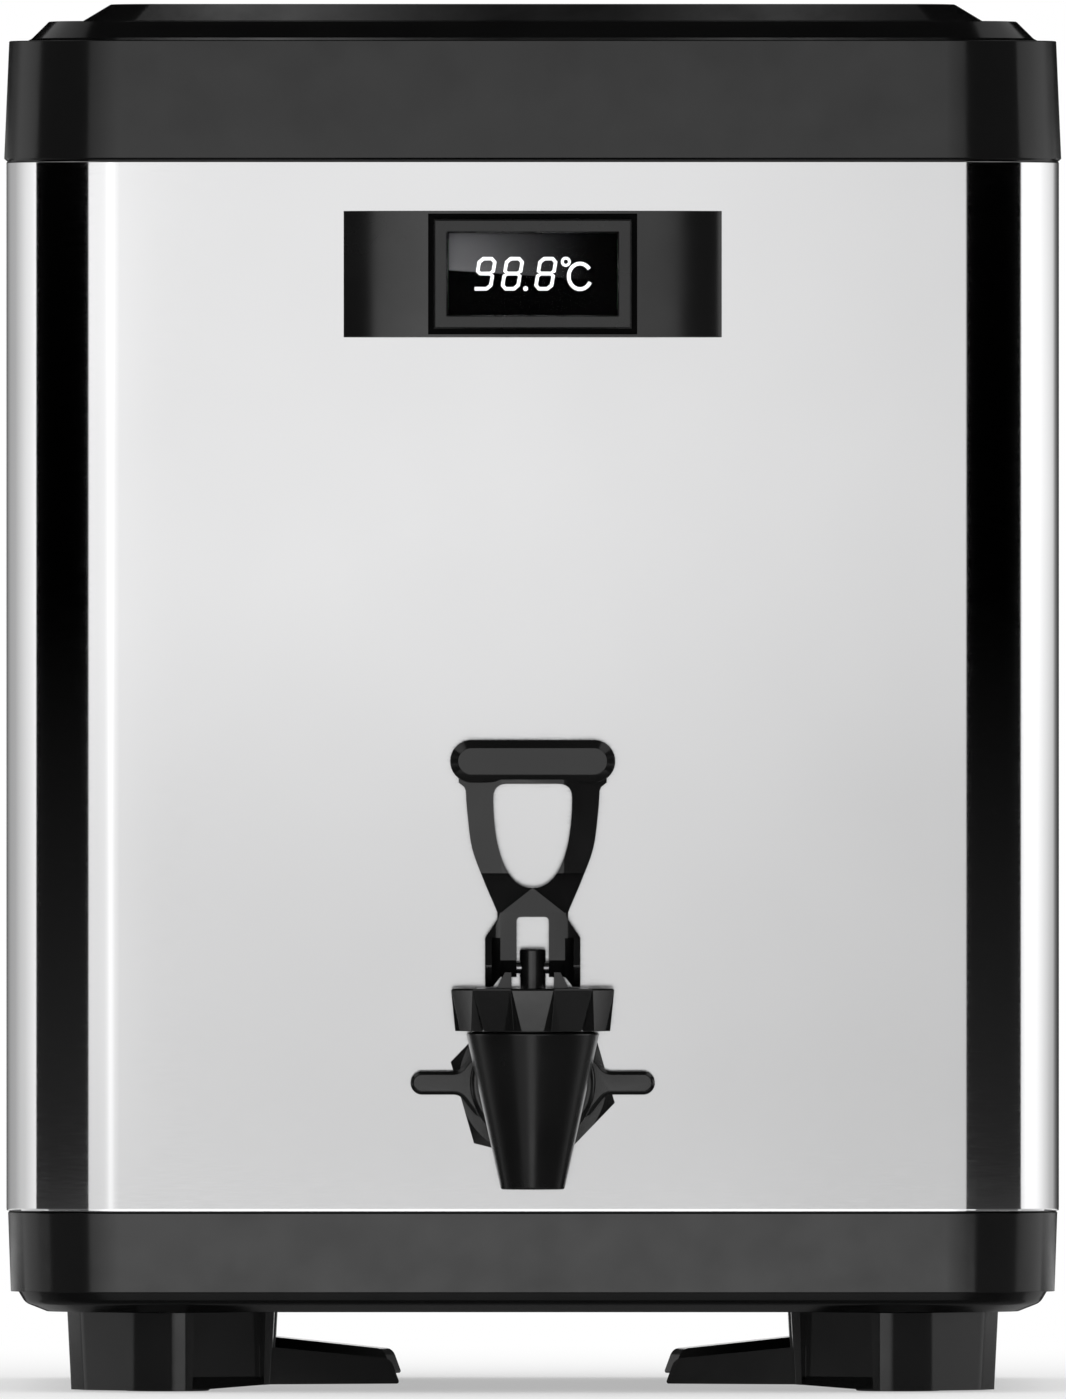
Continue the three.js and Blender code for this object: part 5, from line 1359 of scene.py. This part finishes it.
RIGHT_ROUND = [(76, 1.2), (82, 1.0), (88.9, 1.3), (97.5, 1.38), (107, 1.24), (118, 0.92), (131, 0.6),
               (140, 0.5), (148, 0.2), (158, 0.06), (180, 0.04)]
RIGHT_HIGH = [(76, 1.3), (82, 1.25), (88.9, 1.45), (97.5, 1.46), (107, 1.41), (118, 1.2), (131, 0.99),
              (140, 0.8), (148, 0.28), (158, 0.08), (180, 0.04)]
FOOT_ROUND = [(78, 0.55), (90, 0.6), (100, 0.56), (120, 0.3), (135, 0.12), (150, 0.05), (180, 0.02)]
BASE_ROUND = [(76, 0.55), (92, 0.6), (113, 0.85), (125, 1.08), (141, 1.04), (154, 0.75), (180, 0.4)]
COLLAR_ROUND = [(76, 0.64), (95, 0.66), (107, 0.68), (120, 0.58), (132, 0.2), (150, 0.03), (180, 0.0)]
BELOW_ALONG = [(-1.36, 0.34), (-0.57, 0.34), (-0.51, 0.04), (-0.1, 0.04), (0.4, 0.12), (1.6, 0.12)]


DEEP_ROUND = [(100, 0.004), (112, 0.3), (135, 0.38), (165, 0.3), (184, 0.25)]
LEFT_STRIP = [(-0.1, 0.7), (-0.083, 1.0), (-0.036, 0.25)]
LEFT_CEILING = [(-ROOM_HALF, 0.6), (-0.87, 0.55), (-0.34, 0.2)]


def side_cards(side, name, start, flag_ends, body_stops, body_high, dark, black):
    """One side of the studio. In each zone a dark flag runs from the front panel's end to an angle round
    the shell's corner, and a glowing round card goes on from there to the rear."""
    upright_card(name + "_deep_card", [start, *arc(side, 35, DEEP_TURN)], BOTTOM, FEET, black)
    upright_card(name + "_deep_round", arc(side, DEEP_TURN, REAR_TURN), BOTTOM, FEET,
                 glow(name + "_deep", round_corner(side, DEEP_ROUND)))
    upright_card(name + "_foot_card", arc(side, 120, REAR_TURN, 0.01), BASE, -0.03,
                 glow(name + "_foot_card", 0.1))
    zones = (("feet", FEET, BASE, FOOT_ROUND, None), ("base", BASE, LOW, BASE_ROUND, None),
             ("body", LOW, HIGH, body_stops, body_high), ("collar", HIGH, TOP, COLLAR_ROUND, None))
    for (zone, low, high, stops, high_stops), flag_end in zip(zones, flag_ends):
        zone = name + "_" + zone
        upright_card(zone + "_round", arc(side, flag_end - 3, REAR_TURN), low, high,
                     glow(zone, round_corner(side, stops, high_stops)))
        upright_card(zone + "_flag", [start, round_spot(side, flag_end, FLAG_RADIUS)], low, high, dark)


def studio():
    near, front, under = PANEL_Y + 0.002, PANEL_Y - 0.01, CEILING - 0.01
    left, right, plane = PANEL_LEFT, PANEL_RIGHT, PANEL_Y
    for name, x0, x1, y, low, high, build in (
            ("middle_panel", -EDGE, right, plane, LOW, HIGH, across_and_up(MIDDLE_ACROSS, MIDDLE_UP)),
            ("left_wing", left, -EDGE, plane, LOW, HIGH, across_and_up(WING_ACROSS, WING_UP)),
            ("upper_panel", left, right, plane, HIGH, TOP, across_and_up(OUTER_ACROSS, UPPER_UP)),
            ("lower_panel", left, right, plane, BOTTOM, LOW, across_and_up(OUTER_ACROSS, LOWER_UP)),
            ("spout_band", -0.3, 0.2, near, -0.512, -0.43, 0.55),
            ("spout_side", -0.88, -0.3, near, -0.62, -0.43, 0.5),
            ("spout_light", -0.22, 0.1, near, -0.72, -0.512, 1.9)):
        upright_card(name, [(x0, y), (x1, y)], low, high, glow(name, build))

    dark = glow("dark_flag", along("Z", FLAG_UP))
    black = glow("black_card", 0.004)
    side_cards(-1, "left", (left, plane), LEFT_FLAGS, LEFT_ROUND, LEFT_HIGH, dark, black)
    side_cards(1, "right", (right, plane), RIGHT_FLAGS, RIGHT_ROUND, RIGHT_HIGH, dark, black)
    upright_card("base_card", [round_spot(1, 20.3, FLAG_RADIUS), round_spot(1, 30.2, FLAG_RADIUS)],
                 -0.09, -0.02, glow("base_card", 1.3))

    wide, rear = ROOM_HALF, ROOM_REAR
    level_card("ceiling", -wide, wide, front, rear, CEILING, black)
    level_card("below", -wide, wide, front, rear, BOTTOM, glow("below", along("Y", BELOW_ALONG)))
    walls = [(-wide, rear), (-wide, front), (wide, front), (wide, rear), (-wide, rear)]
    upright_card("upper_surround", walls, TOP, CEILING, black)
    level_card("left_strip", -0.0996, -0.036, 0.2, 0.8, under, glow("left_strip", along("X", LEFT_STRIP)))
    level_card("right_strip", 0.047, 0.086, 0.2, 0.8, under, glow("right_strip", 0.6))
    left_side = glow("left_ceiling", along("X", LEFT_CEILING))
    right_side = glow("right_ceiling", 0.5)
    for y0, y1, x in ((front, 0.6, 0.5), (0.6, rear, 0.75)):
        level_card("left_ceiling", -wide, -x, y0, y1, under, left_side)
        level_card("right_ceiling", x, wide, y0, y1, under, right_side)


def floor():
    """A pale floor: real shading and shadow near the object, plain white far off."""
    material, tree, out = empty_material("floor")
    shade, white, path, spot, length, mix = (tree.nodes.new("ShaderNode" + kind) for kind in (
        "BsdfDiffuse", "Emission", "LightPath", "NewGeometry", "VectorMath", "MixShader"))
    shade.inputs["Color"].default_value = (0.9, 0.9, 0.9, 1)
    length.operation = "LENGTH"
    tree.links.new(spot.outputs["Position"], length.inputs[0])
    far = carry(tree, length.outputs["Value"], 0.18, 0.75, 0.45, 1.0)
    far.node.interpolation_type = "SMOOTHSTEP"
    seen = calculate(tree, "MAXIMUM", path.outputs["Is Camera Ray"], path.outputs["Is Transmission Ray"])
    tree.links.new(times(tree, far, seen), mix.inputs["Fac"])
    tree.links.new(shade.outputs["BSDF"], mix.inputs[1])
    tree.links.new(white.outputs["Emission"], mix.inputs[2])
    tree.links.new(mix.outputs["Shader"], out)
    reach = FLOOR_REACH
    made = sheet("floor", [(-reach, -reach, 0), (reach, -reach, 0), (reach, reach, 0), (-reach, reach, 0)],
                 [(0, 1, 2, 3)], material)
    made.visible_glossy = False


def world():
    """A plain white world at a strength of 1."""
    made = bpy.data.worlds.new("world")
    made.use_nodes = True
    tree = made.node_tree
    background = tree.nodes["Background"]
    background.inputs["Color"].default_value = (1, 1, 1, 1)
    background.inputs["Strength"].default_value = 1.0
    bpy.context.scene.world = made


scene = bpy.context.scene
scene.view_settings.view_transform = "Standard"
camera()
shell()
base()
collar()
liner()
for turns, corner_name in enumerate(("front_left", "front_right", "rear_right", "rear_left")):
    foot(corner_name, turns)
lid()
handle()
vent()
display()
digits()
hex_nut()
wing_nut()
spout()
bonnet()
stem_and_pin()
seat_cup()
lever()
dress_nodes()
floor()
studio()
world()
